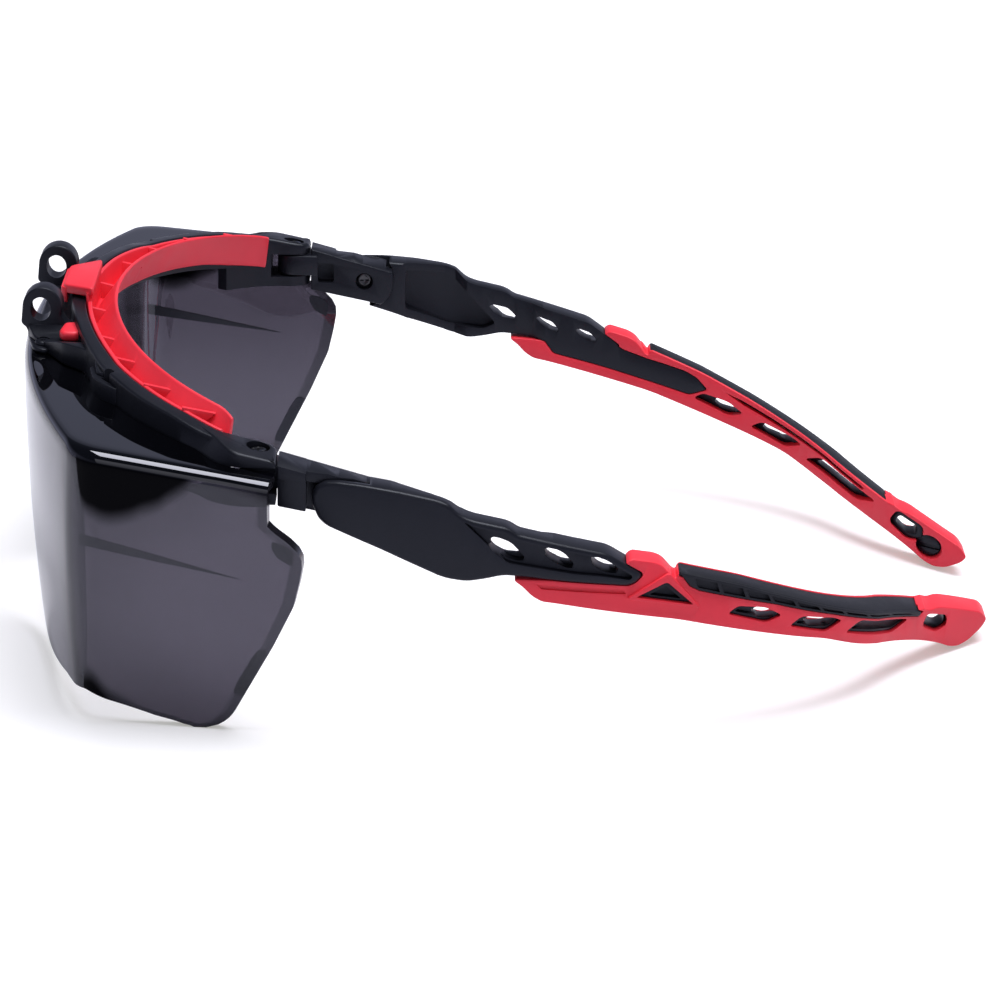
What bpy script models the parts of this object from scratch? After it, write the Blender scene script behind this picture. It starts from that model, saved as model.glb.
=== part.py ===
"""Safety overglasses, worn over a pair of spectacles.

A one-piece tinted wraparound lens hangs under a nylon brow bar, held by two studs and two hook clips.
A soft brow pad lies behind the bar. Each side arm folds on an upright screw at the end of the bar, and
tilts on a cross screw behind that. An arm is a nylon core in a soft sleeve, with a ridged grip strip.

+X is the wearer's left, -Y is the front and +Z is up. Lengths are in metres.
"""

import math

import bmesh
import bpy
import numpy as np
from mathutils import Matrix, Vector

MM = 0.001

# Clearance between pieces that touch or turn on each other
GAP = 0.3 * MM

# Width and height that the other places follow
BAR_HALF_SPAN = 68.5 * MM
LENS_TOP_Z = 54.2 * MM

# Brow bar: an elliptical rail in plan, with a block for the arm hinge at each end
BAR_DEPTH = 45.0 * MM
BAR_CENTRE_Y = -78.5 * MM
BAR_THICKNESS = 3.7 * MM
BAR_END_SETBACK = 1.9 * MM
BAR_HEIGHT = 6.6 * MM
BAR_TOP_Z = LENS_TOP_Z + 4.1 * MM
BAR_TOP_SLOPE = -0.2
CROWN_RISE = 1.4 * MM
CROWN_END_Y = -70.0 * MM
CROWN_LENGTH = 6.0 * MM
BLOCK_FRONT_Y = -48.0 * MM
BLOCK_INNER_X = BAR_HALF_SPAN - 5.5 * MM
BLOCK_OUTER_X = BAR_HALF_SPAN + 3.1 * MM
BLOCK_SHOULDER_X = BAR_HALF_SPAN - 4.0 * MM
BLOCK_HEIGHT = 8.6 * MM
BLOCK_PROUD = 0.25 * MM

# Lens: front arc, corner, side walls, and the shelf that runs back to the bar
LENS_WALL = 2.2 * MM
LENS_FRONT_Y = -87.4 * MM
LENS_FRONT_RADIUS = 189.0 * MM
LENS_FRONT_CURL = 3.4 * MM
LENS_FRONT_CURL_Z = 52.0 * MM
LENS_CORNER_RADIUS = 7.5 * MM
LENS_SIDE_X = BAR_HALF_SPAN + 8.8 * MM
LENS_SIDE_Y = -35.0 * MM
LENS_SIDE_Z = 36.0 * MM
LENS_SIDE_FLARE = 0.15
LENS_SIDE_LEAN = 0.137
LENS_TOP_SLOPE = -0.125
LENS_TOP_ROUND = 3.0 * MM
LENS_EDGE_LIP = 0.9 * MM
LENS_EDGE_LIP_WIDTH = 2.8 * MM
NOSE_ARCH_HEIGHT = 25.0 * MM
NOSE_ARCH_HALF_WIDTH = 15.5 * MM

# Bridge plate and its two eyed lugs
PLATE_THICKNESS = 2.4 * MM
PLATE_FRONT_Y = -84.4 * MM
LUG_X = 14.2 * MM
LUG_THICKNESS = 4.4 * MM
LUG_RADIUS = 3.7 * MM
LUG_EYE_DIAMETER = 3.7 * MM
LUG_EYE_Y = -83.8 * MM
LUG_EYE_Z = LENS_TOP_Z + 5.8 * MM

# Lens fastenings
STUD_X = 20.5 * MM
STUD_Y = -82.1 * MM
STUD_DIAMETER = 2.2 * MM
STUD_HEAD_DIAMETER = 3.2 * MM
STUD_HEAD_HEIGHT = 0.9 * MM
CLIP_SHARE = 0.634
CLIP_LENGTH = 6.5 * MM
CLIP_REACH = 2.4 * MM
CLIP_LEG = 1.5 * MM
CLIP_BARB = 0.8 * MM

# Brow pad: a soft V section behind the bar
PAD_END_SETBACK = 4.5 * MM
PAD_WALL = 1.2 * MM
PAD_DROP = 6.0 * MM
PAD_RISE = 1.5 * MM
PAD_LEAN = 4.4 * MM
PAD_RIB_THICKNESS = 0.9 * MM
PAD_RIB_SHARES = (0.125, 0.383, 0.57, 0.75, 0.875)
STRAP_HALF_WIDTH = 9.0 * MM
STRAP_THICKNESS = 1.8 * MM
STRAP_LEG = 3.2 * MM
PEG_X = 25.0 * MM
PEG_WIDTH = 4.0 * MM
PEG_HEIGHT = 1.6 * MM
PEG_REACH = 2.4 * MM

# Fold hinge: an upright screw through the block and the link's tongue
FOLD_X = BAR_HALF_SPAN - 2.2 * MM
FOLD_Y = -41.8 * MM
FOLD_END_RADIUS = 3.2 * MM
SCREW_DIAMETER = 2.0 * MM
SCREW_HEAD_DIAMETER = 3.2 * MM
SCREW_HEAD_HEIGHT = 1.1 * MM
TONGUE_LOW_Z = LENS_TOP_Z - 9.6 * MM
TONGUE_HIGH_Z = LENS_TOP_Z - 5.6 * MM

# The outer half of the block's and the link's top falls away
SHOULDER_X = BAR_HALF_SPAN - 0.7 * MM
SHOULDER_FALL = 2.3 * MM

# Link between the two hinges
LINK_INNER_X = BAR_HALF_SPAN - 4.2 * MM
LINK_HEIGHT = 8.9 * MM
LINK_TOP_STEP = 0.5 * MM
LINK_TOP_SLOPE = -0.28
LINK_END_RADIUS = 5.8 * MM
LINK_STEP_Y = -33.2 * MM

# Tilt hinge, and the arm behind it
TILT_Y = -27.6 * MM
TILT_Z = LENS_TOP_Z - 10.9 * MM
ARM_MID_X = BAR_HALF_SPAN + 0.8 * MM
ARM_START_ANGLE = -13.0
ARM_BENDS = ((47.0 * MM, 27.0), (32.0 * MM, 14.0), (25.0 * MM, 28.0), (32.0 * MM, -18.0))
ARM_STATION_STEP = 5.0 * MM
PADDLE_PLATE = 3.0 * MM
PADDLE_THICKNESS = 6.2 * MM
PADDLE_POCKET_DEPTH = 2.6 * MM
FRAME_THICKNESS = 4.0 * MM
SLEEVE_THICKNESS = 5.2 * MM
BLADE_THICKNESS = 1.8 * MM
SLOT_FRAME_THICKNESS = 3.4 * MM
SLOT_FRAME_SHARE = 0.25
GRIP_PROUD = 0.4 * MM
GRIP_CAP = 0.9 * MM
GRIP_CAP_INNER = 0.3 * MM
EDGE_CHAMFER = 0.7 * MM


def reset_scene():
    for leftover in list(bpy.data.objects):
        bpy.data.objects.remove(leftover)


def material(name, colour, roughness, alpha=1.0):
    result = bpy.data.materials.new(name)
    result.use_nodes = True
    shader = result.node_tree.nodes["Principled BSDF"]
    shader.inputs["Base Color"].default_value = (*colour, 1.0)
    shader.inputs["Roughness"].default_value = roughness
    shader.inputs["Metallic"].default_value = 0.0
    shader.inputs["Alpha"].default_value = alpha
    result.diffuse_color = (*colour, alpha)
    return result


# Mesh tools


def face_outwards(mesh_data):
    bmesh.ops.recalc_face_normals(mesh_data, faces=mesh_data.faces)
    if mesh_data.calc_volume(signed=True) < 0.0:
        bmesh.ops.reverse_faces(mesh_data, faces=mesh_data.faces)


def mesh_object(name, mesh_data):
    face_outwards(mesh_data)
    mesh = bpy.data.meshes.new(name)
    mesh_data.to_mesh(mesh)
    mesh_data.free()
    result = bpy.data.objects.new(name, mesh)
    bpy.context.scene.collection.objects.link(result)
    return result


def prism(name, outline, low, high, axis, chamfer=0.0):
    """Extrude an outline from low to high along axis 0 (x), 1 (y) or 2 (z).

    The outline holds the other two coordinates. low and high may be functions of them.
    """
    data = bmesh.new()
    rims = []
    for level in (low, high):
        rim = []
        for first, second in outline:
            along = level(first, second) if callable(level) else level
            point = [first, second]
            point.insert(axis, along)
            rim.append(data.verts.new(point))
        rims.append(rim)
    count = len(outline)
    for rim in rims:
        data.faces.new(rim)
    rim_edges = [edge for edge in data.edges]
    for index in range(count):
        after = (index + 1) % count
        data.faces.new((rims[0][index], rims[0][after], rims[1][after], rims[1][index]))
    bmesh.ops.recalc_face_normals(data, faces=data.faces)
    if chamfer > 0.0:
        bmesh.ops.bevel(data, geom=rim_edges, offset=chamfer, segments=1, affect="EDGES", clamp_overlap=True)
    return mesh_object(name, data)


def box(name, low_corner, high_corner):
    outline = [
        (low_corner[1], low_corner[2]),
        (high_corner[1], low_corner[2]),
        (high_corner[1], high_corner[2]),
        (low_corner[1], high_corner[2]),
    ]
    return prism(name, outline, low_corner[0], high_corner[0], 0)


def disc(centre, radius, start=0.0, turn=360.0, steps=20):
    """Points round a circle, or along part of it, anticlockwise from the first axis."""
    count = steps if turn == 360.0 else steps + 1
    points = []
    for index in range(count):
        angle = math.radians(start + turn * index / steps)
        points.append((centre[0] + radius * math.cos(angle), centre[1] + radius * math.sin(angle)))
    return points


def rod(name, centre, radius, low, high, axis, steps=20):
    return prism(name, disc(centre, radius, steps=steps), low, high, axis)


def grown(outline, distance):
    """Move each edge of a closed outline outwards by a distance."""
    points = [Vector(point) for point in outline]
    area = sum(a.x * b.y - b.x * a.y for a, b in zip(points, points[1:] + points[:1]))
    turn = 1.0 if area > 0.0 else -1.0
    result = []
    for index, point in enumerate(points):
        before = (point - points[index - 1]).normalized()
        after = (points[(index + 1) % len(points)] - point).normalized()
        normal_before = Vector((before.y, -before.x)) * turn
        normal_after = Vector((after.y, -after.x)) * turn
        middle = normal_before + normal_after
        shift = middle * (distance / max(0.5, 0.5 * middle.length_squared))
        result.append(tuple(point + shift))
    return result


def shrunk(outline, share):
    """Draw an outline in towards its middle."""
    middle_x = sum(point[0] for point in outline) / len(outline)
    middle_y = sum(point[1] for point in outline) / len(outline)
    return [(x + (middle_x - x) * share, y + (middle_y - y) * share) for x, y in outline]


def loft(name, rings, ladder_caps=False):
    """Skin closed rings of equal point count, and cap both ends.

    A ladder cap joins the first half of a ring to its second half, rung by rung.
    """
    data = bmesh.new()
    loops = [[data.verts.new(point) for point in ring] for ring in rings]
    for one, two in zip(loops, loops[1:]):
        for index in range(len(one)):
            after = (index + 1) % len(one)
            data.faces.new((one[index], one[after], two[after], two[index]))
    for loop in (loops[0], loops[-1]):
        if ladder_caps:
            for index in range(len(loop) // 2 - 1):
                data.faces.new((loop[index], loop[index + 1], loop[-2 - index], loop[-1 - index]))
        else:
            data.faces.new(loop)
    bmesh.ops.triangulate(data, faces=data.faces)
    return mesh_object(name, data)


def shape(target, joined=(), cut=(), solver="EXACT"):
    """Join pieces to the target, then cut others from it, and keep the result.

    The MANIFOLD solver is for curved rails, where the exact one leaves slivers open.
    """
    for tools, operation in ((joined, "UNION"), (cut, "DIFFERENCE")):
        for tool in tools:
            modifier = target.modifiers.new(tool.name, "BOOLEAN")
            modifier.operation = operation
            modifier.solver = solver
            modifier.object = tool
            tool.hide_render = True
            tool.display_type = "WIRE"
    graph = bpy.context.evaluated_depsgraph_get()
    result = bpy.data.meshes.new_from_object(target.evaluated_get(graph))
    target.modifiers.clear()
    target.data = result
    for tool in list(joined) + list(cut):
        bpy.data.objects.remove(tool)
    return target


def both_sides(piece):
    """Cut a piece at the middle plane and mirror its left half."""
    modifier = piece.modifiers.new("both sides", "MIRROR")
    modifier.use_bisect_axis[0] = True
    modifier.use_clip = True
    modifier.merge_threshold = 0.01 * MM
    graph = bpy.context.evaluated_depsgraph_get()
    result = bpy.data.meshes.new_from_object(piece.evaluated_get(graph))
    piece.modifiers.clear()
    piece.data = result
    return piece


def mirrored(source, name):
    """A copy on the other side of the middle plane."""
    data = bmesh.new()
    data.from_mesh(source.data)
    for vertex in data.verts:
        vertex.co.x = -vertex.co.x
    return mesh_object(name, data)


def finish(piece, name, surface, joint):
    """Name a piece, give it its material, and hang it on its joint."""
    piece.name = name
    piece.data.name = name
    piece.data.materials.clear()
    piece.data.materials.append(surface)
    for polygon in piece.data.polygons:
        polygon.material_index = 0
    piece.data.transform(Matrix.Translation(-joint_place(joint)))
    piece.data.shade_smooth()
    piece.data.set_sharp_from_angle(angle=math.radians(30.0))
    piece.parent = joint


def joint_empty(name, place, parent):
    result = bpy.data.objects.new(name, None)
    bpy.context.scene.collection.objects.link(result)
    result.parent = parent
    result.location = Vector(place) - (joint_place(parent) if parent else Vector())
    return result


def joint_place(joint):
    place = Vector()
    while joint:
        place += joint.location
        joint = joint.parent
    return place


# Curves that several pieces share


def shelf_z(y):
    """Top of the lens shelf."""
    return LENS_TOP_Z + LENS_TOP_SLOPE * (y - LENS_FRONT_Y)


def bar_top_z(y):
    return BAR_TOP_Z + BAR_TOP_SLOPE * (y - BAR_CENTRE_Y)


def crown(y):
    """How far the rail stands above that in the middle of the brow."""
    return CROWN_RISE * min(1.0, max(0.0, (CROWN_END_Y - y) / CROWN_LENGTH))


def bar_point(angle, inward):
    """Plan position on the bar's ellipse, moved inwards across the bar."""
    x = BAR_HALF_SPAN * math.sin(angle)
    y = BAR_CENTRE_Y + BAR_DEPTH * (1.0 - math.cos(angle))
    normal = Vector((-BAR_DEPTH * math.sin(angle), BAR_HALF_SPAN * math.cos(angle))).normalized()
    return x + normal.x * inward, y + normal.y * inward


def bar_angle(x):
    return math.asin(x / BAR_HALF_SPAN)


def bar_angles(end_x, steps):
    end = bar_angle(end_x)
    return [end * (2.0 * index / steps - 1.0) for index in range(steps + 1)]


def arm_path():
    """Points down the middle of the arm in plan, from a little before the tilt hinge."""
    x = ARM_MID_X
    y = TILT_Y
    angle = math.radians(ARM_START_ANGLE)
    lead = 10.0 * MM
    points = [(y - lead * math.cos(angle), x + lead * math.sin(angle), angle), (y, x, angle)]
    pieces = 40
    for length, bend in ARM_BENDS:
        for _ in range(pieces):
            step = length / pieces
            middle = angle + math.radians(bend) / pieces / 2.0
            x -= step * math.sin(middle)
            y += step * math.cos(middle)
            angle += math.radians(bend) / pieces
            points.append((y, x, angle))
    points.append((y + lead * math.cos(angle), x - lead * math.sin(angle), angle))
    return np.array(points)


def arm_stations():
    """Cross planes where the arm is bent: between them it stays straight."""
    path = arm_path()
    count = math.ceil((path[-1, 0] - path[0, 0]) / ARM_STATION_STEP)
    y = np.linspace(path[0, 0], path[-1, 0], count + 1)
    x = np.interp(y, path[:, 0], path[:, 1])
    spread = 1.0 / np.cos(np.interp(y, path[:, 0], path[:, 2]))
    return y, x, spread


def arm_x(y, across):
    """Sideways place of a point that lies across the arm's middle surface."""
    station_y, station_x, spread = arm_stations()
    return np.interp(y, station_y, station_x) + across * np.interp(y, station_y, spread)


def bend_arm(piece):
    """Slice a piece drawn flat in the side view and lay it along the arm's plan path."""
    station_y, station_x, spread = arm_stations()
    data = bmesh.new()
    data.from_mesh(piece.data)
    low = min(vertex.co.y for vertex in data.verts)
    high = max(vertex.co.y for vertex in data.verts)
    for y in station_y:
        if low + GAP < y < high - GAP:
            parts = list(data.verts) + list(data.edges) + list(data.faces)
            bmesh.ops.bisect_plane(data, geom=parts, plane_co=(0.0, y, 0.0), plane_no=(0.0, 1.0, 0.0))
    for vertex in data.verts:
        base = np.interp(vertex.co.y, station_y, station_x)
        vertex.co.x = base + vertex.co.x * np.interp(vertex.co.y, station_y, spread)
    face_outwards(data)
    data.to_mesh(piece.data)
    data.free()
    return piece


# Lens


def lens_side_x(y, z, inset):
    return LENS_SIDE_X + LENS_SIDE_FLARE * (y - LENS_SIDE_Y) + LENS_SIDE_LEAN * (z - LENS_SIDE_Z) - inset


def lens_corner(z, inset):
    """Centre and radius of the corner round, and where it meets the front and the side."""
    curl = max(0.0, 1.0 - z / LENS_FRONT_CURL_Z)
    centre_y = LENS_FRONT_Y + LENS_FRONT_CURL * curl * curl + LENS_FRONT_RADIUS
    front_radius = LENS_FRONT_RADIUS - inset
    radius = LENS_CORNER_RADIUS - inset
    slope = Vector((LENS_SIDE_FLARE, 1.0)).normalized()
    side = Vector((lens_side_x(LENS_SIDE_Y, z, inset / slope.y + radius / slope.y), LENS_SIDE_Y))
    # The round's centre lies on the side line moved in, a round's reach inside the front arc
    reach = front_radius - radius
    offset = side - Vector((0.0, centre_y))
    along = -offset.dot(slope) - math.sqrt(max(0.0, reach * reach - offset.length_squared + offset.dot(slope) ** 2))
    centre = side + slope * along
    front_angle = math.atan2(centre.x, centre_y - centre.y)
    side_point = centre + Vector((slope.y, -slope.x)) * radius
    return centre, radius, centre_y, front_radius, front_angle, side_point


LENS_FRONT_COLUMNS = 15
LENS_CORNER_COLUMNS = 4
LENS_SIDE_COLUMNS = 6


def lens_rear_y(z):
    """Rear edge of the side shield, with its step under the hinge."""
    heights = np.array([0.9, 3.0, 7.7, 17.9, 25.5, 34.3, 36.4, 38.5, 40.4, 60.0]) * MM
    places = np.array([-51.5, -46.9, -44.3, -38.6, -34.9, -33.8, -34.8, -38.4, -39.8, -39.8]) * MM
    return float(np.interp(z, heights, places))


def lens_plan(column, z, inset):
    """Plan point of the wall for a column counted outwards from the middle."""
    centre, radius, centre_y, front_radius, front_angle, side_point = lens_corner(z, inset)
    if column <= LENS_FRONT_COLUMNS:
        angle = front_angle * column / LENS_FRONT_COLUMNS
        return front_radius * math.sin(angle), centre_y - front_radius * math.cos(angle)
    if column <= LENS_FRONT_COLUMNS + LENS_CORNER_COLUMNS:
        share = (column - LENS_FRONT_COLUMNS) / LENS_CORNER_COLUMNS
        end_angle = math.pi / 2.0 - math.atan(LENS_SIDE_FLARE)
        angle = front_angle + (end_angle - front_angle) * share
        return centre.x + radius * math.sin(angle), centre.y - radius * math.cos(angle)
    step = column - LENS_FRONT_COLUMNS - LENS_CORNER_COLUMNS
    rear = lens_rear_y(z)
    lip_start = rear - LENS_EDGE_LIP_WIDTH
    if step <= LENS_SIDE_COLUMNS:
        y = side_point.y + (lip_start - side_point.y) * step / LENS_SIDE_COLUMNS
    else:
        y = (lip_start + GAP, rear)[step - LENS_SIDE_COLUMNS - 1]
    return lens_side_x(y, z, inset / math.cos(math.atan(LENS_SIDE_FLARE))), y


def lens_bottom_z(x, y):
    """Lower edge: the nose arch in the middle, then a shallow wave round to the side."""
    arch = NOSE_ARCH_HEIGHT / (1.0 + (x / NOSE_ARCH_HALF_WIDTH) ** 4)
    places = np.array([-90.0, -79.0, -75.0, -71.0, -66.0, -61.0, -56.0, -51.5, -47.0]) * MM
    heights = np.array([2.9, 3.9, 6.3, 6.5, 4.5, 2.6, 1.4, 0.9, 3.1]) * MM
    return float(np.interp(y, places, heights)) + arch


LENS_ROWS = (0.0, 0.06, 0.2, 0.38, 0.56, 0.70, 0.75, 0.80, 0.89, 1.0)
SHELF_ROWS = 3
ROUND_STEPS = 2


def shelf_edge(share):
    """Plan point of the shelf's inner edge, close outside the bar, at a share of its length."""
    clear = BAR_THICKNESS / 2.0 + GAP
    points = [bar_point(angle, -clear) for angle in bar_angles(BLOCK_SHOULDER_X - clear, 24)[12:]]
    points += grown(block_outline(), GAP)[:4][::-1]
    points = np.array(points)
    lengths = np.hypot(*np.diff(points, axis=0).T)
    travel = np.concatenate(([0.0], np.cumsum(lengths)))
    place = share * travel[-1]
    return np.interp(place, travel, points[:, 0]), np.interp(place, travel, points[:, 1])


def lens_ring(column, last_column):
    """One cross-section of the lens, up the outside and back down the inside."""
    lip = LENS_EDGE_LIP if column > LENS_FRONT_COLUMNS + LENS_CORNER_COLUMNS + LENS_SIDE_COLUMNS else 0.0
    guess = lens_plan(column, 0.0, 0.0)
    low = lens_bottom_z(*guess)
    edge = Vector(shelf_edge((column / last_column) ** 1.2))
    rim = Vector(lens_plan(column, LENS_TOP_Z, 0.0))
    high = shelf_z((rim + (edge - rim).normalized() * LENS_TOP_ROUND).y)

    def skin(inset, shelf_drop, round_radius):
        points = []
        top = high - shelf_drop
        for row in LENS_ROWS:
            z = low + (top - round_radius - low) * row
            extra = lip if inset > 0.0 else 0.0
            points.append((*lens_plan(column, z, inset + extra), z))
        corner = Vector(lens_plan(column, top - round_radius, inset))
        towards = (edge - corner).normalized()
        for index in range(1, ROUND_STEPS + 1):
            angle = math.pi / 2.0 * index / ROUND_STEPS
            place = corner + towards * round_radius * (1.0 - math.cos(angle))
            points.append((place.x, place.y, top - round_radius * (1.0 - math.sin(angle))))
        start = corner + towards * round_radius
        for index in range(1, SHELF_ROWS + 1):
            place = start.lerp(edge, index / SHELF_ROWS)
            points.append((place.x, place.y, shelf_z(place.y) - shelf_drop))
        return points

    outer = skin(0.0, 0.0, LENS_TOP_ROUND)
    inner = skin(LENS_WALL, LENS_WALL, LENS_TOP_ROUND - LENS_WALL)
    return outer + inner[::-1]


def make_lens():
    last = LENS_FRONT_COLUMNS + LENS_CORNER_COLUMNS + LENS_SIDE_COLUMNS + 2
    half = [lens_ring(column, last) for column in range(last + 1)]
    other = [[(-x, y, z) for x, y, z in ring] for ring in half[1:2]]
    lens = loft("lens", other + half, ladder_caps=True)
    hole = STUD_DIAMETER / 2.0 + GAP
    slot = grown(clip_outline(CLIP_LEG + CLIP_BARB), GAP)
    cut = [
        rod("stud hole", (STUD_X, STUD_Y), hole, 0.8 * LENS_TOP_Z, 1.2 * LENS_TOP_Z, 2, steps=14),
        prism("clip slot", slot, 0.8 * LENS_TOP_Z, 1.2 * LENS_TOP_Z, 2),
    ]
    return both_sides(shape(lens, cut=cut))


# Brow bar


def clip_outline(depth):
    """Plan outline of a clip's leg, along the outside of the bar."""
    middle = bar_angle(CLIP_SHARE * BAR_HALF_SPAN)
    tangent_step = CLIP_LENGTH / 2.0 / math.hypot(BAR_HALF_SPAN * math.cos(middle), BAR_DEPTH * math.sin(middle))
    near = BAR_THICKNESS / 2.0 + CLIP_REACH - CLIP_LEG
    points = []
    for angle, reach in ((-1, near), (1, near), (1, near + depth), (-1, near + depth)):
        points.append(bar_point(middle + angle * tangent_step, -reach))
    return points


def rail_section(angle):
    middle_y = bar_point(angle, 0.0)[1]
    top = bar_top_z(middle_y) + crown(middle_y)
    points = []
    half = BAR_THICKNESS / 2.0
    chamfer = EDGE_CHAMFER
    section = (
        (-half, -BAR_HEIGHT - crown(middle_y)),
        (half, -BAR_HEIGHT - crown(middle_y)),
        (half, -chamfer),
        (half - chamfer, 0.0),
        (-half + chamfer, 0.0),
        (-half, -chamfer),
    )
    for inward, rise in section:
        points.append((*bar_point(angle, inward), top + rise))
    return points


def make_bar():
    """The left half with a little over the middle, then both halves."""
    angles = bar_angles(BAR_HALF_SPAN - BAR_END_SETBACK, 26)
    bar = loft("brow bar", [rail_section(angle) for angle in angles[12:]])
    hole = STUD_DIAMETER / 2.0 + GAP
    lug_inner = LUG_X - LUG_THICKNESS
    joined = [bridge_plate(), hinge_block(), lug(), stud_ear()] + hook_clip()
    cut = hinge_cuts() + [
        rod("lug eye", (LUG_EYE_Y, LUG_EYE_Z), LUG_EYE_DIAMETER / 2.0, lug_inner, LUG_X + LUG_THICKNESS, 0),
        rod("stud hole", (STUD_X, STUD_Y), hole, 0.9 * LENS_TOP_Z, 1.2 * LENS_TOP_Z, 2, steps=14),
        peg_window(),
        strap_pocket(),
    ]
    return both_sides(shape(bar, joined, cut, solver="MANIFOLD"))


def plate_low(_, y):
    return shelf_z(y) + GAP


def plate_high(_, y):
    return shelf_z(y) + GAP + PLATE_THICKNESS


def bridge_plate():
    """The flat web in front of the rail that carries the lugs."""
    outline = [
        (-3.0 * MM, BAR_CENTRE_Y),
        (-3.0 * MM, PLATE_FRONT_Y),
        (LUG_X + LUG_THICKNESS / 2.0, PLATE_FRONT_Y - 1.0 * MM),
        (STUD_X - 2.0 * MM, STUD_Y - 2.4 * MM),
        (STUD_X + 2.5 * MM, STUD_Y - 0.6 * MM),
        (STUD_X + 8.5 * MM, STUD_Y + 4.6 * MM),
        bar_point(bar_angle(0.54 * BAR_HALF_SPAN), 0.0),
        bar_point(bar_angle(0.35 * BAR_HALF_SPAN), 0.0),
        bar_point(bar_angle(0.175 * BAR_HALF_SPAN), 0.0),
    ]
    return prism("bridge plate", outline, plate_low, plate_high, 2)


def lug():
    """A round-topped ear with a cross eye, its front face upright."""
    front = LUG_EYE_Y - LUG_RADIUS
    top = disc((LUG_EYE_Y, LUG_EYE_Z), LUG_RADIUS, start=0.0, turn=180.0, steps=10)
    foot = [(front, shelf_z(front) + GAP), (LUG_EYE_Y + 2.0 * LUG_RADIUS, shelf_z(LUG_EYE_Y) + 1.5 * MM)]
    half = LUG_THICKNESS / 2.0
    return prism("lug", top + foot, LUG_X - half, LUG_X + half, 0, chamfer=0.4 * MM)


def stud_ear():
    outline = disc((STUD_X, STUD_Y), STUD_HEAD_DIAMETER / 2.0 + 0.8 * MM, steps=16)
    return prism("stud ear", outline, plate_low, plate_high, 2)


def hook_clip():
    """A bridge out from the rail, a leg down through the lens shelf, and a barb under it."""
    middle = bar_angle(CLIP_SHARE * BAR_HALF_SPAN)
    centre_y = bar_point(middle, -CLIP_REACH)[1]
    under = shelf_z(centre_y) - LENS_WALL - GAP
    outer = clip_outline(CLIP_LEG)
    inner = clip_outline(-CLIP_REACH)
    bridge = [outer[3], outer[2], inner[2], inner[3]]
    top = bar_top_z(centre_y) - 0.6 * MM
    return [
        prism("clip bridge", bridge, top - 1.6 * MM, top, 2),
        prism("clip leg", outer, under - 1.1 * MM, top - 0.1 * MM, 2),
        prism("clip barb", clip_outline(CLIP_LEG + CLIP_BARB), under - 1.2 * MM, under, 2),
    ]


def block_outline():
    """The bar's end in plan: the outer side, then the round about the fold screw."""
    outline = [
        (BLOCK_OUTER_X, FOLD_Y + FOLD_END_RADIUS),
        (BLOCK_OUTER_X, BLOCK_FRONT_Y + 2.0 * MM),
        (BLOCK_OUTER_X - 1.6 * MM, BLOCK_FRONT_Y - 1.0 * MM),
        (BLOCK_SHOULDER_X, BLOCK_FRONT_Y - 4.6 * MM),
        (BLOCK_INNER_X + 0.5 * MM, BLOCK_FRONT_Y + 1.0 * MM),
        (BLOCK_INNER_X, BLOCK_FRONT_Y + 3.2 * MM),
    ]
    return outline + disc((FOLD_X, FOLD_Y), FOLD_END_RADIUS, start=180.0, turn=-90.0, steps=6)


def hinge_block():
    outline = block_outline()
    low = bar_top_z(FOLD_Y) - BLOCK_HEIGHT
    return prism("hinge block", outline, low, lambda _, y: bar_top_z(y) + BLOCK_PROUD, 2)


def shoulder_cut(top, slope, start, end):
    """Wedge that slopes the outer half of a top face."""
    high = top + 6.0 * MM
    far = BLOCK_OUTER_X + MM
    outline = [(SHOULDER_X, top), (far, top - SHOULDER_FALL), (far, high), (SHOULDER_X, high)]
    wedge = prism("shoulder", outline, start, end, 1)
    for vertex in wedge.data.vertices:
        vertex.co.z += slope * (vertex.co.y - start)
    return wedge


def hinge_cuts():
    """The slot for the link's tongue and the stepped hole for the fold screw."""
    top = bar_top_z(FOLD_Y)
    low = top - BLOCK_HEIGHT - MM
    slot_front = FOLD_Y - FOLD_END_RADIUS - 4.0 * GAP
    slot = box(
        "tongue slot",
        (FOLD_X - 9.0 * MM, slot_front, TONGUE_LOW_Z - GAP),
        (FOLD_X + 9.0 * MM, FOLD_Y + 9.0 * MM, TONGUE_HIGH_Z + GAP),
    )
    centre = (FOLD_X, FOLD_Y)
    hole = rod("fold screw hole", centre, SCREW_DIAMETER / 2.0 + GAP, low, top + 2.0 * MM, 2, steps=16)
    seat_z = top - SCREW_HEAD_HEIGHT - 2.0 * GAP
    seat = rod("fold screw seat", centre, SCREW_HEAD_DIAMETER / 2.0 + GAP, seat_z, top + 2.0 * MM, 2)
    front = BLOCK_FRONT_Y - 2.0 * MM
    shoulder = shoulder_cut(bar_top_z(front) + BLOCK_PROUD, BAR_TOP_SLOPE, front, FOLD_Y + 2.0 * FOLD_END_RADIUS)
    return [slot, hole, seat, shoulder]


def peg_window():
    """Slot through the rail and the plate for the pad's peg."""
    y = bar_point(bar_angle(PEG_X), 0.0)[1]
    top = bar_top_z(y) - 1.1 * MM
    half = PEG_WIDTH / 2.0 + GAP
    return box(
        "peg window",
        (PEG_X - half, y - BAR_THICKNESS / 2.0 - PEG_REACH - GAP, top - PEG_HEIGHT - 2.0 * GAP),
        (PEG_X + half, y + BAR_THICKNESS, top),
    )


def strap_pocket():
    """Pocket in the plate for the front leg of the pad's strap."""
    front = BAR_CENTRE_Y - BAR_THICKNESS / 2.0 - STRAP_THICKNESS - 2.0 * GAP
    half = STRAP_HALF_WIDTH + GAP
    low = bar_top_z(BAR_CENTRE_Y) + CROWN_RISE - STRAP_LEG - GAP
    back = BAR_CENTRE_Y - BAR_THICKNESS / 2.0
    return box("strap pocket", (-half, front, low), (half, back, low + 9.0 * MM))


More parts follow.
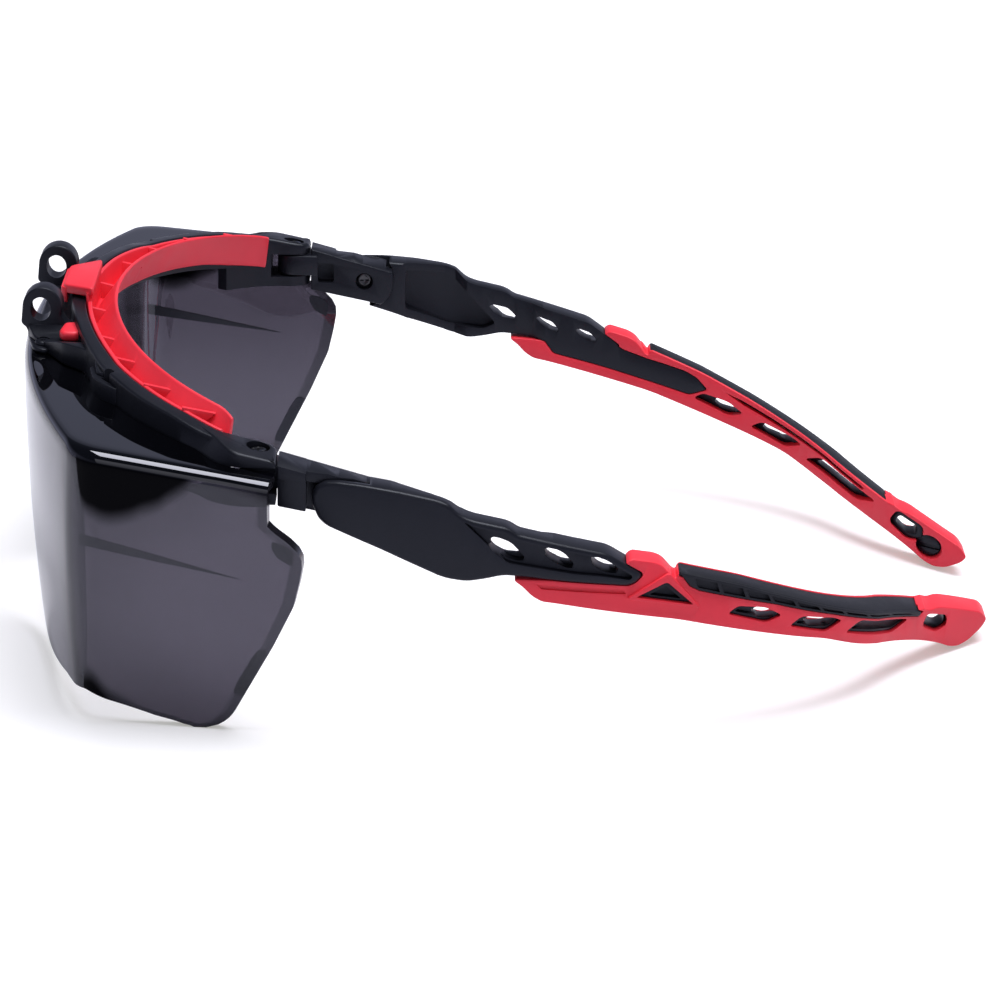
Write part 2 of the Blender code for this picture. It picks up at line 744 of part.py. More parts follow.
def make_stud():
    """A shouldered stud up through the lens shelf and the bar's ear."""
    low = shelf_z(STUD_Y) - LENS_WALL - GAP
    high = plate_high(0.0, STUD_Y) + 2.0 * GAP
    centre = (STUD_X, STUD_Y)
    stud = rod("lens stud", centre, STUD_DIAMETER / 2.0, low - 0.5 * MM, high + 0.5 * MM, 2, steps=14)
    head = prism(
        "stud head",
        disc(centre, STUD_HEAD_DIAMETER / 2.0, steps=14),
        high,
        high + STUD_HEAD_HEIGHT,
        2,
        chamfer=0.3 * MM,
    )
    flange = rod("stud flange", centre, STUD_HEAD_DIAMETER / 2.0, low - STUD_HEAD_HEIGHT, low - GAP, 2, steps=14)
    return shape(stud, [head, flange])


# Brow pad


def pad_section(angle):
    """The V: a wall against the bar, a floor, and a wall that leans back to the brow."""
    middle_y = bar_point(angle, 0.0)[1]
    top = bar_top_z(middle_y)
    near = BAR_THICKNESS / 2.0 + GAP
    section = (
        (near, -PAD_DROP),
        (near, crown(middle_y) - GAP),
        (near + PAD_WALL, crown(middle_y) - GAP),
        (near + PAD_WALL, PAD_WALL - PAD_DROP),
        (near + PAD_LEAN, PAD_RISE),
        (near + PAD_LEAN + PAD_WALL, PAD_RISE),
        (near + 2.4 * PAD_WALL, -PAD_DROP),
    )
    return [(*bar_point(angle, inward), top + rise) for inward, rise in section]


def make_pad():
    """The left half with a little over the middle, then both halves."""
    half_span = BAR_HALF_SPAN - PAD_END_SETBACK
    pad = loft("brow pad", [pad_section(angle) for angle in bar_angles(half_span, 32)[15:]])
    joined = [pad_strap(), pad_peg()]
    for share in PAD_RIB_SHARES:
        joined.append(pad_rib(share * half_span))
    return both_sides(shape(pad, joined, solver="MANIFOLD"))


def pad_rib(x):
    """A cross rib in the V, lying along Y."""
    angle = bar_angle(x)
    near = BAR_THICKNESS / 2.0 + GAP
    top = bar_top_z(bar_point(angle, 0.0)[1])
    slant = 1.0 / math.cos(math.atan(BAR_DEPTH / BAR_HALF_SPAN * math.tan(angle)))
    base = bar_point(angle, 0.0)[1]
    outline = [
        (base + (near + 0.4 * PAD_WALL) * slant, top - 1.2 * MM),
        (base + (near + 0.4 * PAD_WALL) * slant, top + 0.4 * PAD_WALL - PAD_DROP),
        (base + (near + 1.8 * PAD_WALL) * slant, top + 0.4 * PAD_WALL - PAD_DROP),
        (base + (near + PAD_LEAN) * slant, top + 0.3 * PAD_RISE),
    ]
    half = PAD_RIB_THICKNESS / 2.0
    return prism("pad rib", outline, x - half, x + half, 0)


def pad_strap():
    """The strap over the middle of the bar, with a leg down its front."""
    top = bar_top_z(BAR_CENTRE_Y) + CROWN_RISE + GAP
    back = bar_point(bar_angle(STRAP_HALF_WIDTH), 0.0)[1] + BAR_THICKNESS / 2.0 + GAP
    front = BAR_CENTRE_Y - BAR_THICKNESS / 2.0 - GAP
    outline = [
        (back + 0.6 * PAD_WALL, top - 2.4 * MM),
        (back, top - 2.4 * MM),
        (back, top),
        (front, top),
        (front, top - STRAP_LEG),
        (front - STRAP_THICKNESS, top - STRAP_LEG),
        (front - STRAP_THICKNESS, top + 0.3 * STRAP_THICKNESS),
        (front + 0.2 * STRAP_THICKNESS, top + STRAP_THICKNESS),
        (back + PAD_WALL, top + STRAP_THICKNESS),
    ]
    return prism("pad strap", outline, -STRAP_HALF_WIDTH, STRAP_HALF_WIDTH, 0)


def pad_peg():
    """A peg through the rail's window, its nose showing in front of the rail."""
    y = bar_point(bar_angle(PEG_X), 0.0)[1]
    high = bar_top_z(y) - 1.1 * MM - GAP
    low = high - PEG_HEIGHT
    front = y - BAR_THICKNESS / 2.0 - PEG_REACH
    back = y + BAR_THICKNESS / 2.0 + 1.2 * MM
    outline = [(back, low), (back, high), (front + 1.4 * MM, high), (front, low)]
    half = PEG_WIDTH / 2.0
    return prism("pad peg", outline, PEG_X - half, PEG_X + half, 0)


# Fold hinge


def make_fold_screw():
    top = bar_top_z(FOLD_Y) - 2.0 * GAP
    centre = (FOLD_X, FOLD_Y)
    low = bar_top_z(FOLD_Y) - BLOCK_HEIGHT + 2.0 * GAP
    screw = rod("fold screw", centre, SCREW_DIAMETER / 2.0, low, top - 0.5 * SCREW_HEAD_HEIGHT, 2, steps=16)
    head = prism(
        "screw head",
        disc(centre, SCREW_HEAD_DIAMETER / 2.0, steps=20),
        top - SCREW_HEAD_HEIGHT + GAP,
        top,
        2,
        chamfer=0.2 * MM,
    )
    return shape(screw, [head])


def link_top_z(y):
    start = FOLD_Y + FOLD_END_RADIUS
    return bar_top_z(start) - LINK_TOP_STEP + LINK_TOP_SLOPE * (y - start)


def link_low_z(y):
    return bar_top_z(y) - LINK_HEIGHT


def make_link():
    """A block with a tongue into the bar and a round end inside the arm."""
    start = FOLD_Y + FOLD_END_RADIUS + GAP
    nose = disc((TILT_Y, TILT_Z), LINK_END_RADIUS, start=-55.0, turn=75.0, steps=8)
    lower = (start, link_low_z(start))
    outline = [lower] + nose + [(start, link_top_z(start))]
    plate_inner = arm_x(LINK_STEP_Y, PADDLE_THICKNESS / 2.0 - PADDLE_PLATE)
    inner_half = prism("link", outline, LINK_INNER_X, plate_inner - GAP, 0)
    head_outline = [
        lower,
        (LINK_STEP_Y - GAP, link_low_z(LINK_STEP_Y)),
        (LINK_STEP_Y - GAP, link_top_z(LINK_STEP_Y)),
        (start, link_top_z(start)),
    ]
    head = prism("link head", head_outline, LINK_INNER_X, BLOCK_OUTER_X, 0, chamfer=0.5 * MM)
    tongue_outline = disc((FOLD_X, FOLD_Y), FOLD_END_RADIUS, start=180.0, turn=180.0, steps=12)
    tongue_outline += [(FOLD_X + FOLD_END_RADIUS, start + MM), (FOLD_X - FOLD_END_RADIUS, start + MM)]
    tongue = prism("link tongue", tongue_outline, TONGUE_LOW_Z, TONGUE_HIGH_Z, 2)
    hole = rod("fold hole", (FOLD_X, FOLD_Y), SCREW_DIAMETER / 2.0 + GAP, 0.8 * TILT_Z, 1.3 * TILT_Z, 2, steps=16)
    recess = box(
        "link recess",
        (LINK_INNER_X - MM, start + 1.4 * MM, link_top_z(start) - 7.0 * MM),
        (LINK_INNER_X + 2.6 * MM, start + 4.6 * MM, link_top_z(start) - 3.0 * MM),
    )
    tilt = (TILT_Y, TILT_Z)
    bore = rod("tilt bore", tilt, SCREW_DIAMETER / 2.0 + GAP, LINK_INNER_X - MM, LINK_INNER_X + 12.0 * MM, 0, steps=16)
    seat = rod(
        "tilt seat",
        tilt,
        SCREW_HEAD_DIAMETER / 2.0 + GAP,
        LINK_INNER_X - MM,
        LINK_INNER_X + SCREW_HEAD_HEIGHT + 2.0 * GAP,
        0,
    )
    shoulder = shoulder_cut(link_top_z(start - MM), LINK_TOP_SLOPE, start - MM, LINK_STEP_Y + 2.0 * MM)
    return shape(inner_half, [head, tongue], [hole, recess, bore, seat, shoulder])


def make_tilt_screw():
    """Head in the link's inner face, point in the arm's plate."""
    tilt = (TILT_Y, TILT_Z)
    start = LINK_INNER_X + 2.0 * GAP
    tip = arm_x(TILT_Y, PADDLE_THICKNESS / 2.0 - PADDLE_PLATE) + 1.6 * MM
    shank = rod("tilt screw", tilt, SCREW_DIAMETER / 2.0, start + 0.3 * MM, tip, 0, steps=16)
    head = prism(
        "tilt head",
        disc(tilt, SCREW_HEAD_DIAMETER / 2.0, steps=20),
        start,
        start + SCREW_HEAD_HEIGHT - GAP,
        0,
        chamfer=0.2 * MM,
    )
    return shape(shank, [head])


# Arm outlines, drawn in the side view from the tilt screw: back along the arm, and up


def arm_outline(points):
    return [(TILT_Y + back * MM, TILT_Z + up * MM) for back, up in points]


def paddle_outline():
    return arm_outline([
        (-5.0, 0.7), (-4.2, 2.6), (-2.6, 3.7), (-0.8, 3.9), (6.7, 2.5), (18.1, -0.1), (19.5, -1.0), (25.0, -6.6),
        (25.4, -11.7), (23.1, -12.7), (17.7, -12.4), (7.0, -7.9), (-2.5, -4.3), (-3.8, -3.1), (-4.8, -0.9),
    ])


def frame_outline():
    """The windowed stretch, ending in an arrow point."""
    return arm_outline([
        (17.0, -0.8), (19.7, -1.5), (28.4, -3.2), (30.2, -4.4), (45.0, -8.2), (46.1, -8.8), (48.2, -10.2),
        (51.7, -12.5), (50.0, -14.2), (49.0, -14.5), (37.4, -13.5), (29.2, -12.2), (20.0, -11.4),
    ])


def window_outline(index):
    shift = 8.9 * index
    drop = 2.15 * index
    shape_points = [(25.2, -4.6), (27.6, -4.9), (29.4, -6.0), (31.8, -8.8), (29.6, -9.1), (27.6, -8.0)]
    return arm_outline([(back + shift, up - drop) for back, up in shape_points])


def sleeve_outline():
    return arm_outline([
        (29.1, -12.4), (31.1, -13.9), (32.7, -15.6), (34.4, -16.6), (36.9, -17.0), (57.9, -21.3), (72.5, -25.6),
        (84.5, -29.1), (91.0, -32.2), (97.1, -34.6), (103.8, -37.5), (107.6, -39.5), (110.0, -41.1), (111.8, -41.6),
        (113.8, -41.2), (116.6, -39.4), (117.5, -38.0), (116.3, -36.3), (111.8, -34.3), (107.4, -32.4),
        (105.6, -32.3), (104.6, -31.8), (104.4, -31.6), (103.0, -31.4), (95.4, -27.9), (87.6, -24.3), (78.6, -20.3),
        (68.2, -16.0), (57.8, -12.6), (57.3, -13.8), (56.6, -13.3), (54.8, -11.1), (53.2, -10.4), (49.5, -9.6),
        (48.6, -10.4), (46.0, -13.0), (40.0, -13.0),
    ])


def grip_outline():
    return arm_outline([
        (57.8, -12.6), (68.2, -16.0), (78.6, -20.3), (87.6, -24.3), (95.4, -27.9), (103.0, -31.4), (104.1, -32.1),
        (103.2, -32.6), (93.3, -28.2), (85.9, -24.9), (75.2, -20.8), (61.5, -16.4), (59.8, -15.4),
    ])


def tongue_outline():
    """The core's bare patch on the inner side of the arm."""
    return arm_outline([
        (36.0, -12.0), (38.4, -15.2), (47.8, -17.0), (65.7, -20.8), (69.1, -19.3), (67.0, -17.2), (64.9, -16.2),
        (60.4, -15.2), (57.2, -14.6), (52.1, -13.2), (49.6, -11.4), (46.0, -10.0), (36.0, -10.0),
    ])


def blade_outline():
    """The core's thin blade inside the sleeve, out to the eye in the tip."""
    return arm_outline([
        (40.0, -12.5), (50.0, -17.0), (58.0, -18.6), (72.5, -22.9), (84.5, -26.4), (91.0, -29.3), (97.1, -31.8),
        (104.5, -35.9), (109.5, -39.6), (112.0, -40.2), (114.0, -38.7), (114.0, -37.0), (110.0, -34.7),
        (105.0, -33.9), (101.5, -32.4), (95.0, -29.2), (87.0, -25.6), (78.0, -21.8), (67.5, -17.9), (58.5, -15.3),
        (50.0, -12.5),
    ])


def triangle_outline():
    return arm_outline([(55.8, -14.0), (50.4, -16.4), (60.6, -18.7)])


def slot_outline(index):
    """One of the three long openings, each longer than the one before."""
    outlines = (
        [(66.5, -21.4), (68.4, -20.1), (73.2, -21.1), (76.4, -23.1), (73.6, -24.0)],
        [(77.7, -25.4), (80.0, -23.9), (86.1, -25.6), (87.6, -26.6), (84.6, -27.9)],
        [(88.2, -29.1), (91.2, -27.7), (101.2, -32.2), (97.8, -33.2)],
    )
    return arm_outline(outlines[index])


def eye_outline():
    return arm_outline([(104.0, -35.0), (105.1, -32.9), (109.3, -34.6), (109.1, -36.7), (107.0, -37.2)])


def button_centre():
    return TILT_Y + 110.9 * MM, TILT_Z - 38.0 * MM


BUTTON_RADIUS = 1.9 * MM
SLOT_COUNT = 3
WINDOW_COUNT = 3


def make_core():
    half = PADDLE_THICKNESS / 2.0
    frame_half = FRAME_THICKNESS / 2.0
    sleeve_half = SLEEVE_THICKNESS / 2.0
    blade_half = BLADE_THICKNESS / 2.0
    slot_half = SLOT_FRAME_THICKNESS / 2.0
    core = prism("temple core", paddle_outline(), -half, half, 0, chamfer=EDGE_CHAMFER)
    joined = [
        prism("frame", frame_outline(), -frame_half, frame_half, 0, chamfer=0.5 * MM),
        prism("tongue", tongue_outline(), -sleeve_half, 0.0, 0),
        prism("blade", blade_outline(), -blade_half, blade_half, 0),
        prism("triangle", grown(triangle_outline(), -GAP), 0.0, sleeve_half - 0.4 * MM, 0),
        prism("eye frame", grown(eye_outline(), -GAP), -slot_half, slot_half, 0),
        rod("button", button_centre(), BUTTON_RADIUS - GAP, -slot_half, 0.0, 0, steps=14),
    ]
    # The link's round end and the room that it turns in
    swing = LINK_END_RADIUS + GAP
    link_room = disc((TILT_Y, TILT_Z), swing, start=-90.0, turn=180.0, steps=12)
    link_room += [(TILT_Y - 2.0 * swing, TILT_Z + swing), (TILT_Y - 2.0 * swing, TILT_Z - swing)]
    pocket = arm_outline([(8.5, 0.0), (8.5, -6.4), (16.9, -9.6), (22.0, -10.4), (24.6, -9.3), (16.8, -1.2)])
    cut = [
        prism("link room", link_room, -half - MM, half - PADDLE_PLATE, 0),
        prism("paddle pocket", pocket, -half - MM, -half + PADDLE_POCKET_DEPTH, 0),
        rod("screw bore", (TILT_Y, TILT_Z), SCREW_DIAMETER / 2.0 + GAP, -half, half - 1.0 * MM, 0, steps=16),
        prism("triangle pit", shrunk(triangle_outline(), 0.5), blade_half, sleeve_half, 0),
    ]
    for index in range(WINDOW_COUNT):
        cut.append(prism("window", window_outline(index), -half, half, 0))
    for index in range(SLOT_COUNT):
        outline = slot_outline(index)
        joined.append(prism("slot frame", grown(outline, -GAP), -slot_half, slot_half, 0))
        cut.append(prism("slot", shrunk(outline, SLOT_FRAME_SHARE), -half, half, 0))
    cut.append(prism("eye", shrunk(eye_outline(), SLOT_FRAME_SHARE), -half, half, 0))
    return bend_arm(shape(core, joined, cut))


def make_sleeve():
    half = SLEEVE_THICKNESS / 2.0
    far = half + 2.0 * MM
    room = BLADE_THICKNESS / 2.0 + GAP
    sleeve = prism("temple sleeve", sleeve_outline(), -half, half, 0, chamfer=EDGE_CHAMFER)
    cut = [
        prism("frame room", grown(frame_outline(), GAP), -far, far, 0),
        prism("tongue room", grown(tongue_outline(), GAP), -far, GAP, 0),
        prism("blade room", grown(blade_outline(), GAP), -room, room, 0),
        prism("triangle room", triangle_outline(), 0.0, far, 0),
        prism("grip room", grown(grip_outline(), GAP), BLADE_THICKNESS / 2.0, far, 0),
        prism("cap room", cap_outline(GAP, 2.0 * MM), GRIP_CAP_INNER - GAP, far, 0),
        prism("eye room", eye_outline(), -far, far, 0),
        rod("button room", button_centre(), BUTTON_RADIUS, -far, 0.0, 0, steps=14),
    ]
    for index in range(SLOT_COUNT):
        cut.append(prism("slot room", slot_outline(index), -far, far, 0))
    return bend_arm(shape(sleeve, cut=cut))


def cap_outline(extra, rise):
    """The band of the grip that runs over the sleeve's top edge."""
    top = grip_outline()[:6]
    high = [(y, z + rise) for y, z in top]
    low = [(y, z - GRIP_CAP - extra) for y, z in top]
    low[0] = (low[0][0] - extra, low[0][1])
    high[0] = (high[0][0] - extra, high[0][1])
    low[-1] = (low[-1][0] + extra, low[-1][1])
    high[-1] = (high[-1][0] + extra, high[-1][1])
    return high + low[::-1]


def make_grip():
    """The ridged strip let into the outside of the sleeve's upper edge and over its top."""
    low = BLADE_THICKNESS / 2.0 + GAP
    high = SLEEVE_THICKNESS / 2.0 + GRIP_PROUD
    grip = prism("temple grip", grip_outline(), low, high, 0, chamfer=0.4 * MM)
    cap = prism("grip cap", cap_outline(0.0, 0.0), GRIP_CAP_INNER, low + 0.6 * MM, 0)
    return bend_arm(shape(grip, [cap]))


def build():
    reset_scene()
    nylon = material("black nylon", (0.012, 0.013, 0.017), 0.45)
    smoke = material("smoke polycarbonate", (0.06, 0.055, 0.075), 0.08, alpha=0.4)
    rubber = material("red rubber", (0.75, 0.03, 0.045), 0.5)
    soft_black = material("black rubber", (0.010, 0.011, 0.015), 0.6)
    steel = material("dark steel", (0.05, 0.05, 0.055), 0.35)

    lens = make_lens()
    bar = make_bar()
    pad = make_pad()
    stud = make_stud()
    fold_screw = make_fold_screw()
    link = make_link()
    tilt_screw = make_tilt_screw()
    core = make_core()
    sleeve = make_sleeve()
    grip = make_grip()

    root = joint_empty("frame origin", (0.0, 0.0, 0.0), None)
    finish(lens, "lens", smoke, root)
    finish(bar, "brow_bar", nylon, root)
    finish(pad, "brow_pad", rubber, root)
    for side, label in ((1.0, "left"), (-1.0, "right")):
        fold = joint_empty("fold axis " + label, (side * FOLD_X, FOLD_Y, bar_top_z(FOLD_Y)), root)
        tilt = joint_empty("tilt axis " + label, (side * ARM_MID_X, TILT_Y, TILT_Z), fold)
        plan = (
            (stud, "lens_stud_", nylon, root),
            (fold_screw, "fold_screw_", steel, root),
            (link, "hinge_link_", nylon, fold),
            (tilt_screw, "tilt_screw_", steel, fold),
            (core, "temple_core_", nylon, tilt),
            (sleeve, "temple_sleeve_", rubber, tilt),
            (grip, "temple_grip_", soft_black, tilt),
        )
        for source, name, surface, joint in plan:
            piece = mirrored(source, name) if side < 0.0 else mirrored(mirrored(source, "half turn"), name)
            finish(piece, name + label, surface, joint)
    for source in (stud, fold_screw, link, tilt_screw, core, sleeve, grip):
        bpy.data.objects.remove(source)
    for spare in [item for item in bpy.data.objects if item.name.startswith("half turn")]:
        bpy.data.objects.remove(spare)
    settle(root)


def settle(root):
    """Stand the part on the floor, with the middle of its length over the origin."""
    bpy.context.view_layer.update()
    corners = []
    for piece in bpy.data.objects:
        if piece.type == "MESH":
            corners += [piece.matrix_world @ Vector(corner) for corner in piece.bound_box]
    low_y = min(corner.y for corner in corners)
    high_y = max(corner.y for corner in corners)
    root.location.y = -(low_y + high_y) / 2.0
    root.location.z = -min(corner.z for corner in corners)


build()
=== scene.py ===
"""Safety overglasses: the looks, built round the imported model.

The sections follow the glasses as they are put together: the room, the tinted shield, the brow bar
that carries it, the soft brow pad, the hinges, and the two arms with their sleeves and grips.
"""

import math

import bmesh
import bpy
import numpy as np
from mathutils import Matrix, Vector


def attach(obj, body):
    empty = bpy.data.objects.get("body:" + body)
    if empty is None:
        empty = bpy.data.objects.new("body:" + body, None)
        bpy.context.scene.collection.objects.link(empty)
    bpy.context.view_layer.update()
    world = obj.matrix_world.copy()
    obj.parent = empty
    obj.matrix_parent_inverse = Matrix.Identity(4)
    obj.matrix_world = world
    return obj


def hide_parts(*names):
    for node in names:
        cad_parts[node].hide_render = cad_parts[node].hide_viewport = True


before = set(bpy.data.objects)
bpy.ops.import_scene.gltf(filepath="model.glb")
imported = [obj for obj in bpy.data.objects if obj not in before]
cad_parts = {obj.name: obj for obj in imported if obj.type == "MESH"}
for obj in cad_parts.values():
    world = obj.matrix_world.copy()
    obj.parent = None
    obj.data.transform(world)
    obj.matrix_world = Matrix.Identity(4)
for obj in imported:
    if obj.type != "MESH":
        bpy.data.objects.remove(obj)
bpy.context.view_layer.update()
MM = 0.001

# The room: a white table under a dark ceiling with one wide soft lamp overhead and a fill behind the
# camera, as in a product photograph. The camera stands level with the wearer's left side, a little
# above, and turned by a small roll.

PHOTO_LENS = 146.85
PHOTO_TURN, PHOTO_HEIGHT, PHOTO_ROLL = 89.447, 18.875, 1.349
PHOTO_DISTANCE = 764.346 * MM
LOOKS_AT = Vector((0.0, -1.2 * MM, 18.6757 * MM))
CEILING_LOW, CEILING_HIGH = (0.58, 0.60, 0.80, 1.0), (0.06, 0.068, 0.095, 1.0)
ROOM_LIGHT, PLAIN_WHITE = (0.33, 0.33, 0.36), (1.0, 1.0, 1.0)
TABLE_PAINT, TABLE_GLOW = (0.68, 0.68, 0.74, 1.0), (1.0, 1.0, 0.92, 1.0)
TABLE_RADIUS = 9.0


def in_scene(name, data):
    """Put a lamp, a camera or a working mesh, which is used up, in the scene under a name."""
    if isinstance(data, bmesh.types.BMesh):
        working, data = data, bpy.data.meshes.new(name)
        working.to_mesh(data)
        working.free()
    holder = bpy.data.objects.new(name, data)
    bpy.context.scene.collection.objects.link(holder)
    return holder


def soft_lamp(name, place, target, width, height, watts):
    lamp = bpy.data.lights.new(name, "AREA")
    lamp.shape = "RECTANGLE"
    lamp.size = width
    lamp.size_y = height
    lamp.energy = watts
    facing = (Vector(place) - Vector(target)).to_track_quat("Z", "Y")
    in_scene(name, lamp).matrix_world = Matrix.Translation(place) @ facing.to_matrix().to_4x4()


def combine(tree, operation, one, two):
    """A math step on two values, each a number or a node's output."""
    result = tree.nodes.new("ShaderNodeMath")
    result.operation = operation
    for index, value in enumerate((one, two)):
        if isinstance(value, float):
            result.inputs[index].default_value = value
        else:
            tree.links.new(value, result.inputs[index])
    return result.outputs["Value"]


def mixed(tree, share, first, second):
    """A colour between two, each a plain colour or a node's output."""
    result = tree.nodes.new("ShaderNodeMix")
    result.data_type = "RGBA"
    tree.links.new(share, result.inputs["Factor"])
    for key, colour in (("A", first), ("B", second)):
        if isinstance(colour, tuple):
            result.inputs[key].default_value = (*colour, 1.0)
        else:
            tree.links.new(colour, result.inputs[key])
    return result.outputs["Result"]


def seen_by_camera(tree):
    """1 where the camera sees the room, directly or through the shield."""
    ray = tree.nodes.new("ShaderNodeLightPath").outputs
    return combine(tree, "MAXIMUM", ray["Is Camera Ray"], ray["Is Transmission Ray"])


camera_data = bpy.data.cameras.new("photo camera")
camera_data.sensor_width = 36.0
camera_data.lens = PHOTO_LENS
camera_data.clip_start = 0.01
camera = in_scene("photo camera", camera_data)
bpy.context.scene.camera = camera
swing = Matrix.Rotation(math.radians(PHOTO_TURN), 4, "Z")
tip_down = Matrix.Rotation(math.radians(90.0 - PHOTO_HEIGHT), 4, "X")
roll = Matrix.Rotation(math.radians(PHOTO_ROLL), 4, "Z")
aim = swing @ tip_down @ roll
camera.matrix_world = Matrix.Translation(LOOKS_AT + aim.to_3x3() @ Vector((0.0, 0.0, PHOTO_DISTANCE))) @ aim
bpy.context.scene.view_settings.view_transform = "Standard"

soft_lamp("overhead box", (-0.02, 0.16, 1.1), (0.0, 0.0, 0.0), 0.70, 0.8, 18.0)
soft_lamp("camera side fill", (1.5, -0.2, 0.9), (0.0, 0.0, 0.02), 0.9, 0.9, 2.2)

world = bpy.data.worlds.new("studio")
bpy.context.scene.world = world
world.use_nodes = True
world_nodes, world_links = world.node_tree.nodes, world.node_tree.links
direction = world_nodes.new("ShaderNodeTexCoord")
height_of = world_nodes.new("ShaderNodeSeparateXYZ")
ceiling = world_nodes.new("ShaderNodeValToRGB")
world_links.new(direction.outputs["Generated"], height_of.inputs["Vector"])
world_links.new(height_of.outputs["Z"], ceiling.inputs["Fac"])
for stop, place, colour in zip(ceiling.color_ramp.elements, (0.02, 0.50), (CEILING_LOW, CEILING_HIGH)):
    stop.position = place
    stop.color = colour
glossy = world_nodes.new("ShaderNodeLightPath").outputs["Is Glossy Ray"]
lit = mixed(world.node_tree, glossy, ROOM_LIGHT, ceiling.outputs["Color"])
shown = mixed(world.node_tree, seen_by_camera(world.node_tree), lit, PLAIN_WHITE)
world_links.new(shown, world_nodes["Background"].inputs["Color"])

table_mesh = bmesh.new()
bmesh.ops.create_circle(table_mesh, cap_ends=True, segments=96, radius=TABLE_RADIUS)
table = in_scene("table", table_mesh)
white = bpy.data.materials.new("white table")
white.use_nodes = True
white_nodes, white_links = white.node_tree.nodes, white.node_tree.links
paint = white_nodes["Principled BSDF"]
paint.inputs["Base Color"].default_value = TABLE_PAINT
paint.inputs["Roughness"].default_value = 0.9
paint.inputs["Specular IOR Level"].default_value = 0.0
glow = white_nodes.new("ShaderNodeEmission")
glow.inputs["Color"].default_value = TABLE_GLOW
glow.inputs["Strength"].default_value = 0.34
whole = white_nodes.new("ShaderNodeAddShader")
white_links.new(paint.outputs["BSDF"], whole.inputs[0])
white_links.new(glow.outputs["Emission"], whole.inputs[1])
pick = white_nodes.new("ShaderNodeMixShader")
white_links.new(seen_by_camera(white.node_tree), pick.inputs["Fac"])
white_links.new(paint.outputs["BSDF"], pick.inputs[1])
white_links.new(whole.outputs["Shader"], pick.inputs[2])
white_links.new(pick.outputs["Shader"], white_nodes["Material Output"].inputs["Surface"])
table.data.materials.append(white)

# The shield: one wraparound lens of smoke polycarbonate, injection moulded 2.2 mm thick. Its top turns
# back as a shelf under the brow bar. Each side has a darker rim along its rear edge, and a thin dark line
# and two small dark pads on its inside. Shade and dark reflections are painted into the tint: it goes
# nearly black under the top edge of each side, down the front corner, in the lower front corner, and on
# the round top edge and the shelf.

SET_BACK = Vector((0.0, -1.2 * MM, -0.9603 * MM))
SHIELD_WALL = 2.2 * MM
SHIELD_TOP = 54.2 * MM
SHIELD_ROUND = 2.5 * MM
FRONT_Y = -87.4 * MM
FRONT_RADIUS = 189.0 * MM
CORNER_RADIUS = 7.5 * MM
SIDE_FLARE = 0.15
SIDE_LEAN = 0.137
SIDE_X, SIDE_Y, SIDE_Z = 77.3 * MM, -35.0 * MM, 36.0 * MM
CURL_TOP, CURL_DEEP = 52.0 * MM, 3.4 * MM
NOSE_HEIGHT, NOSE_HALF_WIDTH = 25.0 * MM, 15.5 * MM
SHELF_LEAVES_BAR = 62.35 * MM
SHELF_CROWDING = 1.2
SHELF_FALL = 0.125
FRONT_SHARE, CORNER_SHARE = 0.52, 0.64
RIM_WIDTH = 1.7 * MM
SIDES_FROM = 60.0 * MM
BAR_SPAN = 68.5 * MM
BAR_DEEP = 45.0 * MM
BAR_MIDDLE_Y = -78.5 * MM
SHARP_FROM = math.radians(35.0)


def keep_mesh(name, mesh, body, material, replaced=()):
    """Put a finished mesh in the scene as one piece that rides on its body."""
    bmesh.ops.translate(mesh, verts=mesh.verts, vec=SET_BACK)
    piece = in_scene(name, mesh)
    for surface in material if isinstance(material, list) else [material]:
        piece.data.materials.append(surface)
    piece.data.shade_smooth()
    piece.data.set_sharp_from_angle(angle=SHARP_FROM)
    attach(piece, body)
    if replaced:
        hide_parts(*replaced)


def bar_point(angle, inward):
    """Plan place on the bar's ellipse, moved in across the bar."""
    x = BAR_SPAN * math.sin(angle)
    y = BAR_MIDDLE_Y + BAR_DEEP * (1.0 - math.cos(angle))
    across = Vector((-BAR_DEEP * math.sin(angle), BAR_SPAN * math.cos(angle))).normalized()
    return x + across.x * inward, y + across.y * inward


def front_reach(angle):
    """How far the rail's front face stands out from the middle line of the rail, in mm."""
    turns = [0.0, 8.0, 12.0, 20.0, 25.0, 30.0, 36.0, 44.0, 50.0, 58.0, 62.0, 66.0, 90.0]
    reaches = [0.9, 0.7, 0.45, 0.4, 0.55, 0.75, 0.9, 1.0, 1.15, 1.0, 1.3, 1.5, 1.85]
    return float(np.interp(abs(math.degrees(angle)), turns, reaches))


def shelf_height(y):
    return SHIELD_TOP - SHELF_FALL * (y - FRONT_Y)


def side_x(y, z):
    """Distance of the side wall's outer skin from the middle plane."""
    return SIDE_X + SIDE_FLARE * (y - SIDE_Y) + SIDE_LEAN * (z - SIDE_Z)


def corner(z):
    """The round between the front arc and the side wall at a height."""
    curl = max(0.0, 1.0 - z / CURL_TOP)
    front_middle = FRONT_Y + CURL_DEEP * curl * curl + FRONT_RADIUS
    slope = Vector((SIDE_FLARE, 1.0)).normalized()
    side = Vector((side_x(SIDE_Y, z) - CORNER_RADIUS / slope.y, SIDE_Y))
    offset = side - Vector((0.0, front_middle))
    reach = FRONT_RADIUS - CORNER_RADIUS
    along = -offset.dot(slope) - math.sqrt(reach * reach - offset.length_squared + offset.dot(slope) ** 2)
    centre = side + slope * along
    start_angle = math.atan2(centre.x, front_middle - centre.y)
    return centre, front_middle, start_angle, centre + Vector((slope.y, -slope.x)) * CORNER_RADIUS


def rear_edge(z):
    """Where the side wall ends at the back, at a height."""
    heights = [0.9, 1.3, 2.0, 3.0, 4.4, 7.7, 17.9, 25.5, 30.0, 33.0, 34.6, 36.0, 37.6, 39.2, 40.4, 60.0]
    places = [
        -51.5, -49.6, -48.0, -46.7, -45.6, -43.9, -38.7, -35.3, -34.3, -33.8, -33.9, -34.6, -36.2, -38.4, -39.7, -39.8,
    ]
    return float(np.interp(z / MM, heights, places)) * MM


